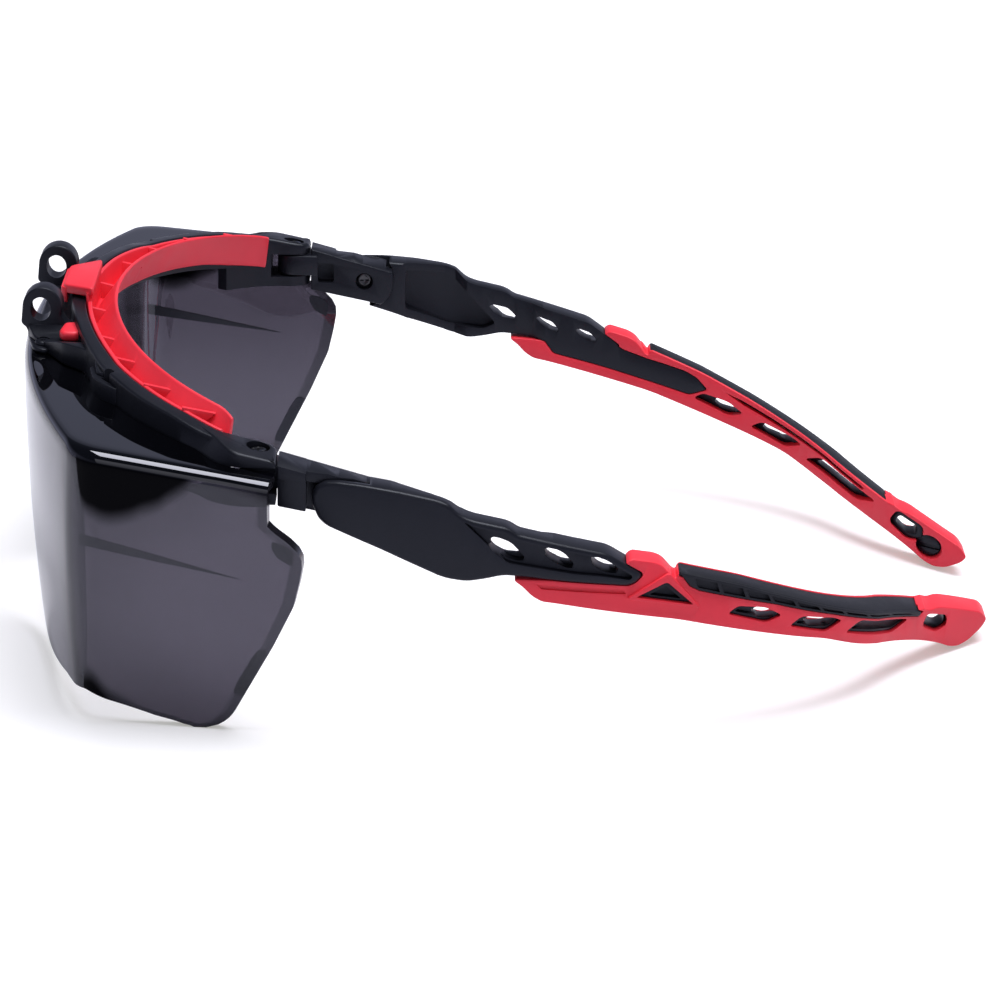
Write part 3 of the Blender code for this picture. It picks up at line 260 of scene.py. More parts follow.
def wall_point(share, z):
    """Outer skin at a share of the way from the middle of the front to the rear edge of the side."""
    centre, front_middle, start_angle, side_start = corner(z)
    if share <= FRONT_SHARE:
        angle = start_angle * share / FRONT_SHARE
        return Vector((FRONT_RADIUS * math.sin(angle), front_middle - FRONT_RADIUS * math.cos(angle)))
    if share <= CORNER_SHARE:
        end_angle = math.pi / 2.0 - math.atan(SIDE_FLARE)
        angle = start_angle + (end_angle - start_angle) * (share - FRONT_SHARE) / (CORNER_SHARE - FRONT_SHARE)
        return centre + Vector((math.sin(angle), -math.cos(angle))) * CORNER_RADIUS
    along = (share - CORNER_SHARE) / (1.0 - CORNER_SHARE)
    y = side_start.y + (rear_edge(z) - side_start.y) * along
    return Vector((side_x(y, z), y))


def lower_edge(x, y):
    """Height of the lower edge: the nose arch in the middle and the curve of the side wall."""
    arch = NOSE_HEIGHT / (1.0 + (x / NOSE_HALF_WIDTH) ** 4)
    places = [-90.0, -82.0, -79.0, -75.0, -71.0, -66.0, -61.0, -56.0, -53.0, -51.0, -49.0, -47.0]
    heights = [2.9, 3.1, 4.1, 6.1, 6.4, 4.6, 2.7, 1.45, 0.95, 1.1, 1.9, 3.1]
    return float(np.interp(y / MM, places, heights)) * MM + arch


def shelf_end(share):
    """Inner edge of the shelf, close outside the bar and then round the outside of its end block."""
    end = math.asin(SHELF_LEAVES_BAR / BAR_SPAN)
    angles = [end * step / 48.0 for step in range(49)]
    points = [bar_point(angle, -(front_reach(angle) + 0.55) * MM) for angle in angles]
    points += [(64.3 * MM, -52.9 * MM), (70.15 * MM, -49.25 * MM), (71.9 * MM, -46.1 * MM), (71.9 * MM, -38.6 * MM)]
    points = np.array(points)
    travel = np.concatenate(([0.0], np.cumsum(np.hypot(*np.diff(points, axis=0).T))))
    place = share * travel[-1]
    return Vector((np.interp(place, travel, points[:, 0]), np.interp(place, travel, points[:, 1])))


WALL_ROWS = 60
ROUND_ROWS = 8
SHELF_ROWS = 14
HALF_COLUMNS = 90
rows = WALL_ROWS + ROUND_ROWS + SHELF_ROWS
shield = bmesh.new()
bmesh.ops.create_grid(shield, x_segments=2 * HALF_COLUMNS, y_segments=rows, size=1.0)
for vertex in shield.verts:
    across, row = vertex.co.x, round((vertex.co.y + 1.0) / 2.0 * rows)
    side = -1.0 if across < 0.0 else 1.0
    share = abs(across)
    edge = shelf_end(share ** SHELF_CROWDING)
    rim = wall_point(share, SHIELD_TOP)
    top = shelf_height((rim + (edge - rim).normalized() * SHIELD_ROUND).y)
    if row <= WALL_ROWS:
        first = wall_point(share, 0.0)
        low = lower_edge(first.x, first.y)
        z = low + (top - SHIELD_ROUND - low) * row / WALL_ROWS
        place = wall_point(share, z)
        point = Vector((place.x, place.y, z))
    else:
        bend = wall_point(share, top - SHIELD_ROUND)
        towards = (edge - bend).normalized()
        if row <= WALL_ROWS + ROUND_ROWS:
            angle = math.pi / 2.0 * (row - WALL_ROWS) / ROUND_ROWS
            place = bend + towards * SHIELD_ROUND * (1.0 - math.cos(angle))
            point = Vector((place.x, place.y, top - SHIELD_ROUND * (1.0 - math.sin(angle))))
        else:
            start = bend + towards * SHIELD_ROUND
            place = start.lerp(edge, (row - WALL_ROWS - ROUND_ROWS) / SHELF_ROWS)
            point = Vector((place.x, place.y, shelf_height(place.y)))
    vertex.co = Vector((point.x * side, point.y, point.z))
bmesh.ops.recalc_face_normals(shield, faces=shield.faces)
front_face = min(shield.faces, key=lambda face: face.calc_center_median().y)
if front_face.normal.y > 0.0:
    bmesh.ops.reverse_faces(shield, faces=shield.faces)
skin = set(shield.verts)
bmesh.ops.solidify(shield, geom=shield.faces, thickness=SHIELD_WALL)
for face in shield.faces:
    centre = face.calc_center_median()
    outside = sum(vertex in skin for vertex in face.verts)
    if 0 < outside < len(face.verts):
        face.material_index = 2
    elif abs(centre.x) > SIDES_FROM and rear_edge(centre.z) - centre.y < RIM_WIDTH:
        face.material_index = 1


def noise(tree, place, scale, detail=2.0):
    texture = tree.nodes.new("ShaderNodeTexNoise")
    texture.inputs["Scale"].default_value = scale
    texture.inputs["Detail"].default_value = detail
    tree.links.new(place, texture.inputs["Vector"])
    return texture.outputs["Fac"]


def remapped(tree, value, from_low, from_high, to_low, to_high, smooth=False):
    span = tree.nodes.new("ShaderNodeMapRange")
    span.interpolation_type = "SMOOTHSTEP" if smooth else "LINEAR"
    for key, number in (("From Min", from_low), ("From Max", from_high), ("To Min", to_low), ("To Max", to_high)):
        span.inputs[key].default_value = number
    tree.links.new(value, span.inputs["Value"])
    return span.outputs["Result"]


def border(tree, y_value, points):
    """A height in metres that changes with Y as a list of (y, z) places in mm says."""
    low, high = points[0][0], points[-1][0]
    share = remapped(tree, y_value, low * MM, high * MM, 0.0, 1.0)
    ramp = tree.nodes.new("ShaderNodeValToRGB")
    ramp.color_ramp.interpolation = "CARDINAL"
    stops = ramp.color_ramp.elements
    while len(stops) < len(points):
        stops.new(0.5)
    for stop, (y, z) in zip(stops, points):
        stop.position = (y - low) / (high - low)
        stop.color = (z / 100.0, z / 100.0, z / 100.0, 1.0)
    tree.links.new(share, ramp.inputs["Fac"])
    return combine(tree, "MULTIPLY", ramp.outputs["Color"], 100.0 * MM)


# Painted shade and painted dark reflection on the shield, as (y, z) borders in mm: the tint goes nearly black above the
# first border, below the second and above the strip line, which covers the round top edge and the shelf.
SHADE_UNDER_TOP_EDGE = [
    (-74.4, 58.0), (-73.2, 46.0), (-72.6, 40.0), (-70.0, 37.8), (-66.6, 37.4), (-62.9, 38.9), (-58.7, 41.0),
    (-54.5, 44.1), (-52.0, 46.2), (-47.3, 44.9), (-41.6, 43.1), (-36.0, 42.0),
]
SHELF_SHADE_LINE = [(-90.0, 51.9), (-72.8, 49.7), (-41.1, 45.8), (-30.0, 44.4)]
SHADE_LOW_FRONT = [(-73.4, 0.0), (-72.9, 9.9), (-68.8, 7.1), (-63.6, 3.7), (-58.8, 0.8), (-57.0, 0.0)]
# A band of painted dark reflection runs down the front corner.
CORNER_SHADE_BACK, CORNER_SHADE_HALF = 75.8 * MM, 1.8 * MM
SHADE_FADE = (-1.0 * MM, 3.6 * MM)
SHELF_SHADE_FADE = (-0.4 * MM, 0.2 * MM)
WOBBLE = 0.15 * MM
POLYCARBONATE_IOR = 1.585


def clear_tint(name, through, mottle_and_shade_tint, lamp_tint, roughness):
    """Polycarbonate that bends light, with a straight way through for the lamps.

    Shade and dark reflections are painted into the tint: it goes nearly black and loses most of its shine under
    the top edge of each side, in its lower front corner and down the front corner, and the round top edge and the
    shelf are painted opaque and dark but keep their shine. A faint random darkening is the moulding's own.
    """
    result = bpy.data.materials.new(name)
    result.use_nodes = True
    tree = result.node_tree
    nodes, links = tree.nodes, tree.links
    body = nodes["Principled BSDF"]
    place = nodes.new("ShaderNodeTexCoord").outputs["Object"]
    parts = nodes.new("ShaderNodeSeparateXYZ")
    links.new(place, parts.inputs["Vector"])
    y, z = parts.outputs["Y"], parts.outputs["Z"]
    cloud = noise(tree, place, 45.0)
    tint_and_painted_shade = remapped(tree, cloud, 0.3, 0.7, 0.0, 0.10)
    # Painted shade and painted dark reflection: under the top edge, in the lower front corner and down the front
    # corner.
    above = combine(tree, "SUBTRACT", z, border(tree, y, SHADE_UNDER_TOP_EDGE))
    below = combine(tree, "SUBTRACT", border(tree, y, SHADE_LOW_FRONT), z)
    wobble = remapped(tree, cloud, 0.2, 0.8, -WOBBLE, WOBBLE)
    off_middle = combine(tree, "ADD", y, CORNER_SHADE_BACK)
    band = combine(tree, "SUBTRACT", CORNER_SHADE_HALF, combine(tree, "ABSOLUTE", off_middle, 0.0))
    for side in (above, below, band):
        reach = combine(tree, "ADD", side, wobble)
        inside = remapped(tree, reach, *SHADE_FADE, 0.0, 1.0, smooth=True)
        tint_and_painted_shade = combine(tree, "MAXIMUM", tint_and_painted_shade, inside)
    # The painted shade takes most of the shine away too.
    shine = remapped(tree, tint_and_painted_shade, 0.1, 1.0, 0.22, 0.03)
    # The round top edge and the shelf are painted opaque and dark, and they keep their shine.
    over = combine(tree, "SUBTRACT", z, border(tree, y, SHELF_SHADE_LINE))
    shelf = remapped(tree, over, *SHELF_SHADE_FADE, 0.0, 1.0)
    tint_and_painted_shade = combine(tree, "MAXIMUM", tint_and_painted_shade, shelf)
    shine = combine(tree, "MAXIMUM", shine, combine(tree, "MULTIPLY", shelf, 0.55))
    links.new(shine, body.inputs["Specular IOR Level"])
    links.new(remapped(tree, tint_and_painted_shade, 0.1, 1.0, 1.0, 0.0), body.inputs["Transmission Weight"])
    links.new(mixed(tree, tint_and_painted_shade, through, mottle_and_shade_tint), body.inputs["Base Color"])
    links.new(remapped(tree, cloud, 0.3, 0.7, roughness * 0.7, roughness * 1.3), body.inputs["Roughness"])
    body.inputs["IOR"].default_value = POLYCARBONATE_IOR
    body.inputs["Specular Tint"].default_value = (0.86, 0.87, 1.0, 1.0)
    lamp_way = nodes.new("ShaderNodeBsdfTransparent")
    lamp_way.inputs["Color"].default_value = (*lamp_tint, 1.0)
    ray_kind = nodes.new("ShaderNodeLightPath")
    both_ways = nodes.new("ShaderNodeMixShader")
    links.new(ray_kind.outputs["Is Shadow Ray"], both_ways.inputs["Fac"])
    links.new(body.outputs["BSDF"], both_ways.inputs[1])
    links.new(lamp_way.outputs["BSDF"], both_ways.inputs[2])
    links.new(both_ways.outputs["Shader"], nodes["Material Output"].inputs["Surface"])
    return result


def moulded(name, dark, light, rough, grain, bump, shine=0.5, metal=0.0):
    """A moulded surface: faintly mottled, with a fine grain and with patches that are rubbed smoother."""
    result = bpy.data.materials.new(name)
    result.use_nodes = True
    tree = result.node_tree
    nodes, links = tree.nodes, tree.links
    body = nodes["Principled BSDF"]
    place = nodes.new("ShaderNodeTexCoord").outputs["Object"]
    cloud = noise(tree, place, 120.0, 4.0)
    mottle = mixed(tree, remapped(tree, cloud, 0.3, 0.7, 0.0, 1.0), dark, light)
    links.new(mottle, body.inputs["Base Color"])
    links.new(remapped(tree, cloud, 0.3, 0.7, rough - 0.06, rough + 0.06), body.inputs["Roughness"])
    raised = nodes.new("ShaderNodeBump")
    raised.inputs["Strength"].default_value = bump
    raised.inputs["Distance"].default_value = 0.05 * MM
    links.new(noise(tree, place, grain), raised.inputs["Height"])
    links.new(raised.outputs["Normal"], body.inputs["Normal"])
    body.inputs["Specular IOR Level"].default_value = shine
    body.inputs["Specular Tint"].default_value = (0.82, 0.86, 1.0, 1.0)
    body.inputs["Metallic"].default_value = metal
    return result


# Both tints carry the painted shade and painted dark reflection.
smoke = clear_tint(
    "smoke polycarbonate", (0.041, 0.0355, 0.050), (0.0004, 0.0004, 0.0007), (0.5, 0.5, 0.53), 0.012
)
smoke_rim = clear_tint("thick smoke rim", (0.016, 0.014, 0.020), (0.001, 0.001, 0.002), (0.45, 0.45, 0.48), 0.02)
smoke_edge = moulded("dark lens edge", (0.004, 0.004, 0.006), (0.007, 0.006, 0.009), 0.2, 900.0, 0.1)
keep_mesh("tinted_shield", shield, "frame", [smoke, smoke_rim, smoke_edge], ("lens",))


def slab(outline, low, high, corner=0.0, edge=0.0, axis=0, steps=3, segments=2, origin=(0.0, 0.0)):
    """A flat outline with its corners rounded, raised from low to high, with its rims bevelled.

    Sizes are in mm. With axis 0 the outline is (y, z), and with axis 2 it is (x, y).
    """
    mesh = bmesh.new()
    for one, two in outline:
        one, two = one + origin[0], two + origin[1]
        place = (low, one, two) if axis == 0 else (one, two, low)
        mesh.verts.new(Vector(place) * MM)
    mesh.faces.new(mesh.verts)
    if corner > 0.0:
        for vertex in list(mesh.verts):
            nearest = min(link.calc_length() for link in vertex.link_edges)
            radius = min(corner * MM, 0.45 * nearest)
            bmesh.ops.bevel(
                mesh, geom=[vertex], offset=radius, segments=steps, profile=0.5, affect="VERTICES", material=-1,
            )
    height = Vector(((high - low) * MM, 0.0, 0.0)) if axis == 0 else Vector((0.0, 0.0, (high - low) * MM))
    raised = bmesh.ops.extrude_face_region(mesh, geom=list(mesh.faces))["geom"]
    lifted = [item for item in raised if isinstance(item, bmesh.types.BMVert)]
    bmesh.ops.translate(mesh, verts=lifted, vec=height)
    bmesh.ops.recalc_face_normals(mesh, faces=mesh.faces)
    if edge > 0.0:
        flat = [face for face in mesh.faces if abs(face.normal[axis]) > 0.99]
        rims = list({link for face in flat for link in face.edges})
        bmesh.ops.bevel(
            mesh, geom=rims, offset=edge * MM, segments=segments, profile=0.5, affect="EDGES",
            clamp_overlap=True, material=-1,
        )
    return mesh


def mirrored(mesh):
    other = mesh.copy()
    bmesh.ops.scale(other, vec=(-1.0, 1.0, 1.0), verts=other.verts)
    bmesh.ops.reverse_faces(other, faces=other.faces)
    return other


def keep_pair(name, left, body, material, replaced=None):
    """Keep a left piece and its mirror image. Every body except the frame has one of its own on each side."""
    for side, mesh in (("right", mirrored(left)), ("left", left)):
        rides = body if body == "frame" else body + "_" + side
        keep_mesh(name + "_" + side, mesh, rides, material, (replaced + "_" + side,) if replaced else ())


def on_side(outline, low, high):
    """A thin plate let into the side wall of the shield; low and high are measured out from the outer skin."""
    mesh = slab(outline, low, high, corner=0.5)
    for vertex in mesh.verts:
        vertex.co.x += side_x(vertex.co.y, vertex.co.z)
    return mesh


# A thin dark strip just inside each side, along a dark tapered line, and two small dark pads near its rear edge.
DARK_LINE = [(-71.6, 36.3), (-60.0, 33.6), (-44.4, 29.8), (-61.9, 32.6), (-71.5, 34.2)]
UPPER_TAB = [(-39.0, 37.3), (-38.9, 36.0), (-38.0, 34.4), (-35.4, 32.8), (-35.1, 35.6), (-36.9, 36.9)]
LOWER_TAB = [(-41.2, 16.6), (-39.6, 16.4), (-43.9, 7.4), (-45.7, 7.8), (-45.2, 9.4), (-42.5, 14.7)]
for name, outline in (("dark_line", DARK_LINE), ("upper_tab", UPPER_TAB), ("lower_tab", LOWER_TAB)):
    keep_pair("shield_" + name, on_side(outline, -2.5, -2.0), "frame", smoke_edge)

# The brow bar: glass-filled nylon, moulded as one piece. A rail follows the brow and stands highest in
# the middle, a lower plate in front of it carries the two eyed lugs and the stud ears, a hook on each
# side clips into the shield's shelf, and each end widens into the block of the fold hinge.

nylon = moulded("black nylon", (0.0055, 0.006, 0.0095), (0.008, 0.0085, 0.013), 0.38, 2600.0, 0.25, shine=0.24)
rubber = moulded("red rubber", (0.66, 0.021, 0.038), (0.74, 0.026, 0.046), 0.46, 3200.0, 0.22, shine=0.4)
soft_black = moulded("black rubber", (0.006, 0.006, 0.009), (0.010, 0.010, 0.013), 0.5, 3200.0, 0.3, shine=0.25)
steel = moulded("dark steel", (0.05, 0.05, 0.055), (0.08, 0.08, 0.085), 0.32, 1800.0, 0.1, metal=1.0)

BAR_TOP = 58.3 * MM
BAR_FALL = 0.2
BAR_END_X = 66.6 * MM
CROWN_RISE = 1.4 * MM
SOFTEN_FROM = math.radians(40.0)


def both(make):
    """The same piece on the wearer's left and right."""
    return [make(), mirrored(make())]


def combined(base, joined, cut=(), *, soften):
    """Join and cut meshes, then soften the edges that are left sharp. All the meshes given are used up."""
    target = in_scene("working", base)
    tools = []
    for group, operation in ((joined, "UNION"), (cut, "DIFFERENCE")):
        for mesh in group:
            tool = in_scene("working", mesh)
            tools.append(tool)
            boolean = target.modifiers.new("boolean", "BOOLEAN")
            boolean.operation = operation
            boolean.solver = "MANIFOLD"
            boolean.object = tool
    bevel = target.modifiers.new("bevel", "BEVEL")
    bevel.width = soften * MM
    bevel.segments = 2
    bevel.limit_method = "ANGLE"
    bevel.angle_limit = SOFTEN_FROM
    bevel.use_clamp_overlap = True
    graph = bpy.context.evaluated_depsgraph_get()
    result = bmesh.new()
    result.from_object(target, graph)
    for used in [target] + tools:
        bpy.data.objects.remove(used)
    return result


def widened(outline, distance):
    """An outline with each edge moved out by a distance in mm."""
    points = [Vector(point) for point in outline]
    turn = math.copysign(1.0, sum(a.x * b.y - b.x * a.y for a, b in zip(points, points[1:] + points[:1])))
    result = []
    for before, point, after in zip(points[-1:] + points[:-1], points, points[1:] + points[:1]):
        one, two = (point - before).normalized(), (after - point).normalized()
        out = Vector((one.y + two.y, -one.x - two.x)) * turn
        result.append(tuple(point + out * (distance / max(0.5, 0.5 * out.length_squared))))
    return result


def sliced(mesh, axis, places):
    """Cut edges round a mesh across an axis, so that it can be bent there."""
    normal = [float(number == axis) for number in range(3)]
    for place in places:
        geometry = [*mesh.verts, *mesh.edges, *mesh.faces]
        middle = [place * part for part in normal]
        bmesh.ops.bisect_plane(mesh, geom=geometry, plane_co=middle, plane_no=normal)


def crown(y):
    """How far the rail stands up in the middle of the brow."""
    share = min(1.0, max(0.0, (-70.0 * MM - y) / (6.0 * MM)))
    return CROWN_RISE * share


def bar_top(y):
    return BAR_TOP - BAR_FALL * (y - BAR_MIDDLE_Y)


def swept(rings):
    """A section carried through its places, one extrusion after another, and closed at both ends."""
    mesh = bmesh.new()
    corners = [mesh.verts.new(point) for point in rings[0]]
    end = mesh.faces.new(corners)
    for number, ring in enumerate(rings[1:]):
        raised = bmesh.ops.extrude_face_region(mesh, geom=[end])["geom"]
        if number and end.is_valid:
            bmesh.ops.delete(mesh, geom=[end], context="FACES_ONLY")
        end = [item for item in raised if isinstance(item, bmesh.types.BMFace)][0]
        fresh = set(end.verts)
        corners = [
            next(link.other_vert(old) for link in old.link_edges if link.other_vert(old) in fresh) for old in corners
        ]
        for vertex, point in zip(corners, ring):
            vertex.co = point
    bmesh.ops.recalc_face_normals(mesh, faces=mesh.faces)
    return mesh


def rounded(corners, radius, steps=4):
    """An outline in mm whose corners are arcs; a corner with a third value has its own radius."""
    result = []
    count = len(corners)
    for index, point in enumerate(corners):
        here = Vector(point[:2])
        before = Vector(corners[index - 1][:2]) - here
        after = Vector(corners[(index + 1) % count][:2]) - here
        own = point[2] if len(point) > 2 else radius
        reach = min(own, 0.45 * before.length, 0.45 * after.length)
        if reach < 0.01:
            result.append(tuple(here))
            continue
        one, two = here + before.normalized() * reach, here + after.normalized() * reach
        for step in range(steps + 1):
            share = step / steps
            result.append(tuple(one.lerp(here, share).lerp(here.lerp(two, share), share)))
    return result


def along_bar(angles, section):
    """Sweep a section of (inward, up) places in mm along the rail's curve."""
    rings = []
    for angle in angles:
        middle_y = bar_point(angle, 0.0)[1]
        ring = []
        for inward, up in section(angle, middle_y):
            ring.append(Vector((*bar_point(angle, inward * MM), bar_top(middle_y) + up * MM)))
        rings.append(ring)
    return swept(rings)


def rail_lift(angle, at_end):
    """How far the rail's top stands up outside the middle, in mm, with what is left of that at its end."""
    return float(np.interp(abs(math.degrees(angle)), [20.0, 32.0, 60.0, 68.0], [0.0, 0.45, 0.45, at_end]))


def rail_section(angle, middle_y):
    rise = crown(middle_y) / MM + rail_lift(angle, 0.0)
    reach = front_reach(angle)
    corners = [(-reach - 0.25, -6.6, 0.0), (1.85, -6.6, 0.0), (1.85, rise, 0.4), (-reach, rise, 0.55)]
    return rounded(corners, 0.5)


def arc(middle, radius, angles, height=None):
    """Places in mm on a round line, or on an oval one where a second radius is given."""
    height = height or radius
    return [(middle[0] + radius * math.cos(angle), middle[1] + height * math.sin(angle)) for angle in angles]


def circle(middle, radius, steps=24, height=None):
    return arc(middle, radius, [2.0 * math.pi * step / steps for step in range(steps)], height)


PLATE_SIDE = [
    (12.0, -86.1, 0.3), (16.4, -86.0, 0.6), (19.6, -84.6), (23.1, -81.9), (28.5, -78.6), (31.1, -74.8),
    (33.3, -73.0, 0.6), (37.5, -72.1, 0.6), (41.4, -71.4, 0.7), (42.0, -70.0, 0.5), (41.2, -68.0, 0.0),
    (31.4, -72.4, 0.0), (24.0, -75.2, 0.0), (12.0, -77.6, 0.0),
]
PLATE_TOP_X = [12.0, 16.4, 18.4, 19.8, 23.1, 26.0, 28.4, 33.3, 38.0, 41.4]
PLATE_TOP_Z = [56.7, 57.0, 56.1, 55.5, 55.8, 56.7, 57.2, 56.95, 56.75, 55.9]
EAR_SIDE = [
    (10.5, -85.9), (14.5, -86.3), (19.4, -85.4), (23.2, -84.5, 1.8), (24.2, -82.2, 1.8), (21.6, -80.4), (12.0, -82.0),
]
LUG_MIDDLE = (-83.45, 60.1)
LUG_SIDE = arc(LUG_MIDDLE, 3.6, [turn * math.pi / 16 for turn in range(-2, 16)], 3.7) + [
    (-87.3, 57.1), (-86.4, 56.3), (-86.1, 55.6), (-86.0, 53.9), (-75.6, 52.8), (-75.6, 55.6), (-77.8, 56.1),
    (-79.3, 57.0),
]
CLIP_SIDE = [
    (36.0, -72.4, 0.3), (38.0, -73.0, 0.8), (42.3, -72.1, 1.0), (45.2, -70.3, 1.3), (47.2, -67.6, 0.9),
    (46.4, -65.9, 0.3), (40.0, -68.9, 0.0), (36.4, -70.8, 0.0),
]
CLIP_GAP = [(42.5, -70.7), (44.5, -69.1), (43.5, -68.0), (42.3, -68.8)]
BLOCK_FOOT = [
    (71.6, -38.6, 0.2), (71.6, -45.3, 2.4), (69.2, -49.6, 2.4), (65.6, -51.9, 1.8), (62.9, -55.0, 1.2),
    (60.2, -56.6, 0.0), (59.0, -54.9, 0.0), (62.2, -49.0, 0.5), (63.0, -44.9, 1.0), (63.1, -41.8, 0.8),
    (63.9, -39.5, 0.6), (65.5, -38.6, 0.4),
]
BLOCK_CROWN = [
    (71.6, -38.6, 0.2), (71.5, -45.8, 1.6), (68.6, -48.1, 1.6), (65.4, -49.8, 1.6), (62.5, -52.0, 1.2),
    (60.6, -55.4, 0.0), (59.0, -54.6, 0.0),
] + BLOCK_FOOT[7:]
FOLD = Vector((66.3, -41.8))
STUD = Vector((20.8, -82.9))
HINGE_SLOT = [(57.3, -46.2), (75.3, -46.2), (75.3, -32.0), (57.3, -32.0)]
WINDOW = [(23.1, -78.9), (23.3, -75.2), (26.7, -74.8), (26.8, -77.2), (25.5, -78.9)]
MIDDLE_PLATE = [(-12.5, -84.9), (12.5, -84.9), (13.0, -77.8), (0.0, -78.4), (-13.0, -77.8)]
STRAP_SEAT = [(-10.4, -82.9), (10.4, -82.9), (10.4, -79.62), (-10.4, -79.62)]


def upright(outline, low, high, **rounding):
    """A slab whose outline is in plan, with sharp corners."""
    return slab(outline, low, high, axis=2, **rounding)


def shelf_slab(outline, rise_low, rise_high, edge):
    """An upright slab whose bottom and top lie along the shield's shelf."""
    mesh = upright(outline, 0.0, 10.0, edge=edge, segments=3)
    for vertex in mesh.verts:
        share = vertex.co.z / MM
        base = rise_low + share if share < 5.0 else rise_high - 10.0 + share
        vertex.co.z = shelf_height(vertex.co.y) + base * MM
    return mesh


def plate_slab():
    """The stepped plate in front of the rail: low at the stud ear and rising to the clip."""
    mesh = upright(rounded(PLATE_SIDE, 1.0), 0.0, 10.0, edge=0.4, segments=3)
    sliced(mesh, 0, np.arange(13.0, 41.5, 1.0) * MM)
    for vertex in mesh.verts:
        if vertex.co.z < 5.0 * MM:
            vertex.co.z += shelf_height(vertex.co.y) + 0.1 * MM
        else:
            vertex.co.z += (float(np.interp(vertex.co.x / MM, PLATE_TOP_X, PLATE_TOP_Z)) - 10.0) * MM
    return mesh


def clip_slab():
    """The hook that clips into the shelf; its top has the fall of the bar's top."""
    mesh = upright(rounded(CLIP_SIDE, 0.6), 50.0, 56.0, edge=0.75, segments=3)
    for vertex in mesh.verts:
        if vertex.co.z > 53.0 * MM:
            vertex.co.z += bar_top(vertex.co.y) - 57.5 * MM
    return mesh


def block_mesh():
    """The block of the fold hinge: it leans in from its foot to a flat top with a rounded outer edge."""
    foot, crown_line = rounded(BLOCK_FOOT, 1.0), rounded(BLOCK_CROWN, 1.0)
    rings = [[Vector((x, y, 42.4)) * MM for x, y in foot], [Vector((x, y, 49.2)) * MM for x, y in foot]]
    for inset, down in ((0.0, 0.8), (0.1, 0.4), (0.35, 0.12), (0.75, 0.0)):
        ring = []
        for x, y in widened(crown_line, -inset):
            fall = 0.12 * max(0.0, x - 66.5)
            ring.append(Vector((x * MM, y * MM, bar_top(y * MM) + (0.25 - fall - down) * MM)))
        rings.append(ring)
    return swept(rings)


def bar_mesh():
    end = math.asin(BAR_END_X / BAR_SPAN)
    rail = along_bar([end * (step / 60.0 - 1.0) for step in range(121)], rail_section)
    eye = circle((LUG_MIDDLE[0] - 0.3, LUG_MIDDLE[1] - 0.3), 1.85, 32, 2.2)
    joined = [shelf_slab(MIDDLE_PLATE, 0.1, 2.5, 0.7)]
    joined += both(plate_slab)
    joined += both(lambda: shelf_slab(rounded(EAR_SIDE, 0.8), 0.1, 0.95, 0.3))
    joined += both(lambda: slab(rounded(LUG_SIDE, 0.5), 12.0, 16.4, edge=0.75, segments=4))
    joined += both(clip_slab)
    joined += both(block_mesh)
    cut = [slab(eye, -20.0, 20.0)]
    cut += both(lambda: slab(CLIP_GAP, 53.0, 60.0, corner=0.3, axis=2))
    cut += both(lambda: upright(circle(FOLD, 2.05), 49.7, 60.0))
    cut += both(lambda: upright(circle(FOLD, 1.2), 40.0, 60.0))
    cut += both(lambda: upright(HINGE_SLOT, 44.3, 48.9))
    cut += both(lambda: upright(circle(STUD, 1.25), 40.0, 60.0))
    cut += both(lambda: upright(rounded(WINDOW, 0.6), 54.6, 57.7))
    cut.append(upright(STRAP_SEAT, 56.6, 70.0))
    return combined(rail, joined, cut, soften=0.14)


keep_mesh("brow_bar_moulding", bar_mesh(), "frame", nylon, ("brow_bar",))

# The brow pad: one moulding of soft red rubber behind the rail. It is a trough with a thin upright rim
# against the rail and a wall that leans back to the brow, with cross ribs between. A strap over the
# middle of the rail and a peg through a window on each side hold it.

PAD_END_X = 64.0 * MM


def pad_section(angle, middle_y):
    turn = abs(math.degrees(angle))
    ending = max(0.0, (turn - 63.0) / 9.5) ** 2
    rim = crown(middle_y) / MM + rail_lift(angle, 0.1) - 0.15
    drop = float(np.interp(turn, [0.0, 15.0, 25.0, 50.0, 58.0, 72.0], [3.9, 4.2, 4.6, 4.7, 5.1, 5.3]))
    lean, rise = 7.65 - 3.4 * ending, 1.55 - 1.1 * ending
    corners = [
        (2.15, -drop - 0.3, 0.3), (2.15, rim, 0.3), (2.95, rim, 0.3), (3.1, 0.9 - drop, 0.5), (3.6, 0.75 - drop, 0.5),
        (lean - 0.65, rise - 0.15, 0.2), (lean - 0.25, rise, 0.25), (lean, rise - 0.3, 0.4), (4.7, -drop - 0.3, 0.7),
    ]
    return rounded(corners, 0.3, steps=3)


def pad_rib(share):
    """A cross rib, at a share of the way from the middle to the pad's end."""
    angle = math.asin(share * (PAD_END_X / MM) / (BAR_SPAN / MM))
    slant = 1.0 / math.cos(math.atan(BAR_DEEP / BAR_SPAN * math.tan(angle)))
    base = bar_point(angle, 0.0)[1] / MM
    top = bar_top(base * MM) / MM + rail_lift(angle, 0.1)
    x = share * (PAD_END_X / MM)
    outline = [
        (base + 2.5 * slant, top - 3.9), (base + 2.5 * slant, top - 0.1), (base + 6.6 * slant, top - 1.1),
        (base + 4.2 * slant, top - 3.9),
    ]
    return slab(outline, x - 0.45, x + 0.45)


def pad_strap():
    """The trapezoid block over the rail, with a short leg down its front."""
    outline = [(-6.3, -80.6), (6.3, -80.6), (10.0, -74.9), (-10.0, -74.9)]
    mesh = slab(outline, 60.0, 61.75, corner=0.9, edge=0.5, axis=2, segments=3)
    for vertex in mesh.verts:
        vertex.co.z += 0.05 * (vertex.co.y + 80.6 * MM)
    return mesh


def pad_peg():
    """The tongue that comes through the window and lies on the plate."""
    outline = [(17.2, -79.4), (16.6, -77.6), (17.4, -75.6), (22.4, -75.2), (23.7, -77.0), (23.5, -79.3), (21.8, -79.9)]
    return upright(rounded(outline, 0.8), 55.9, 57.75, edge=0.7, segments=4)


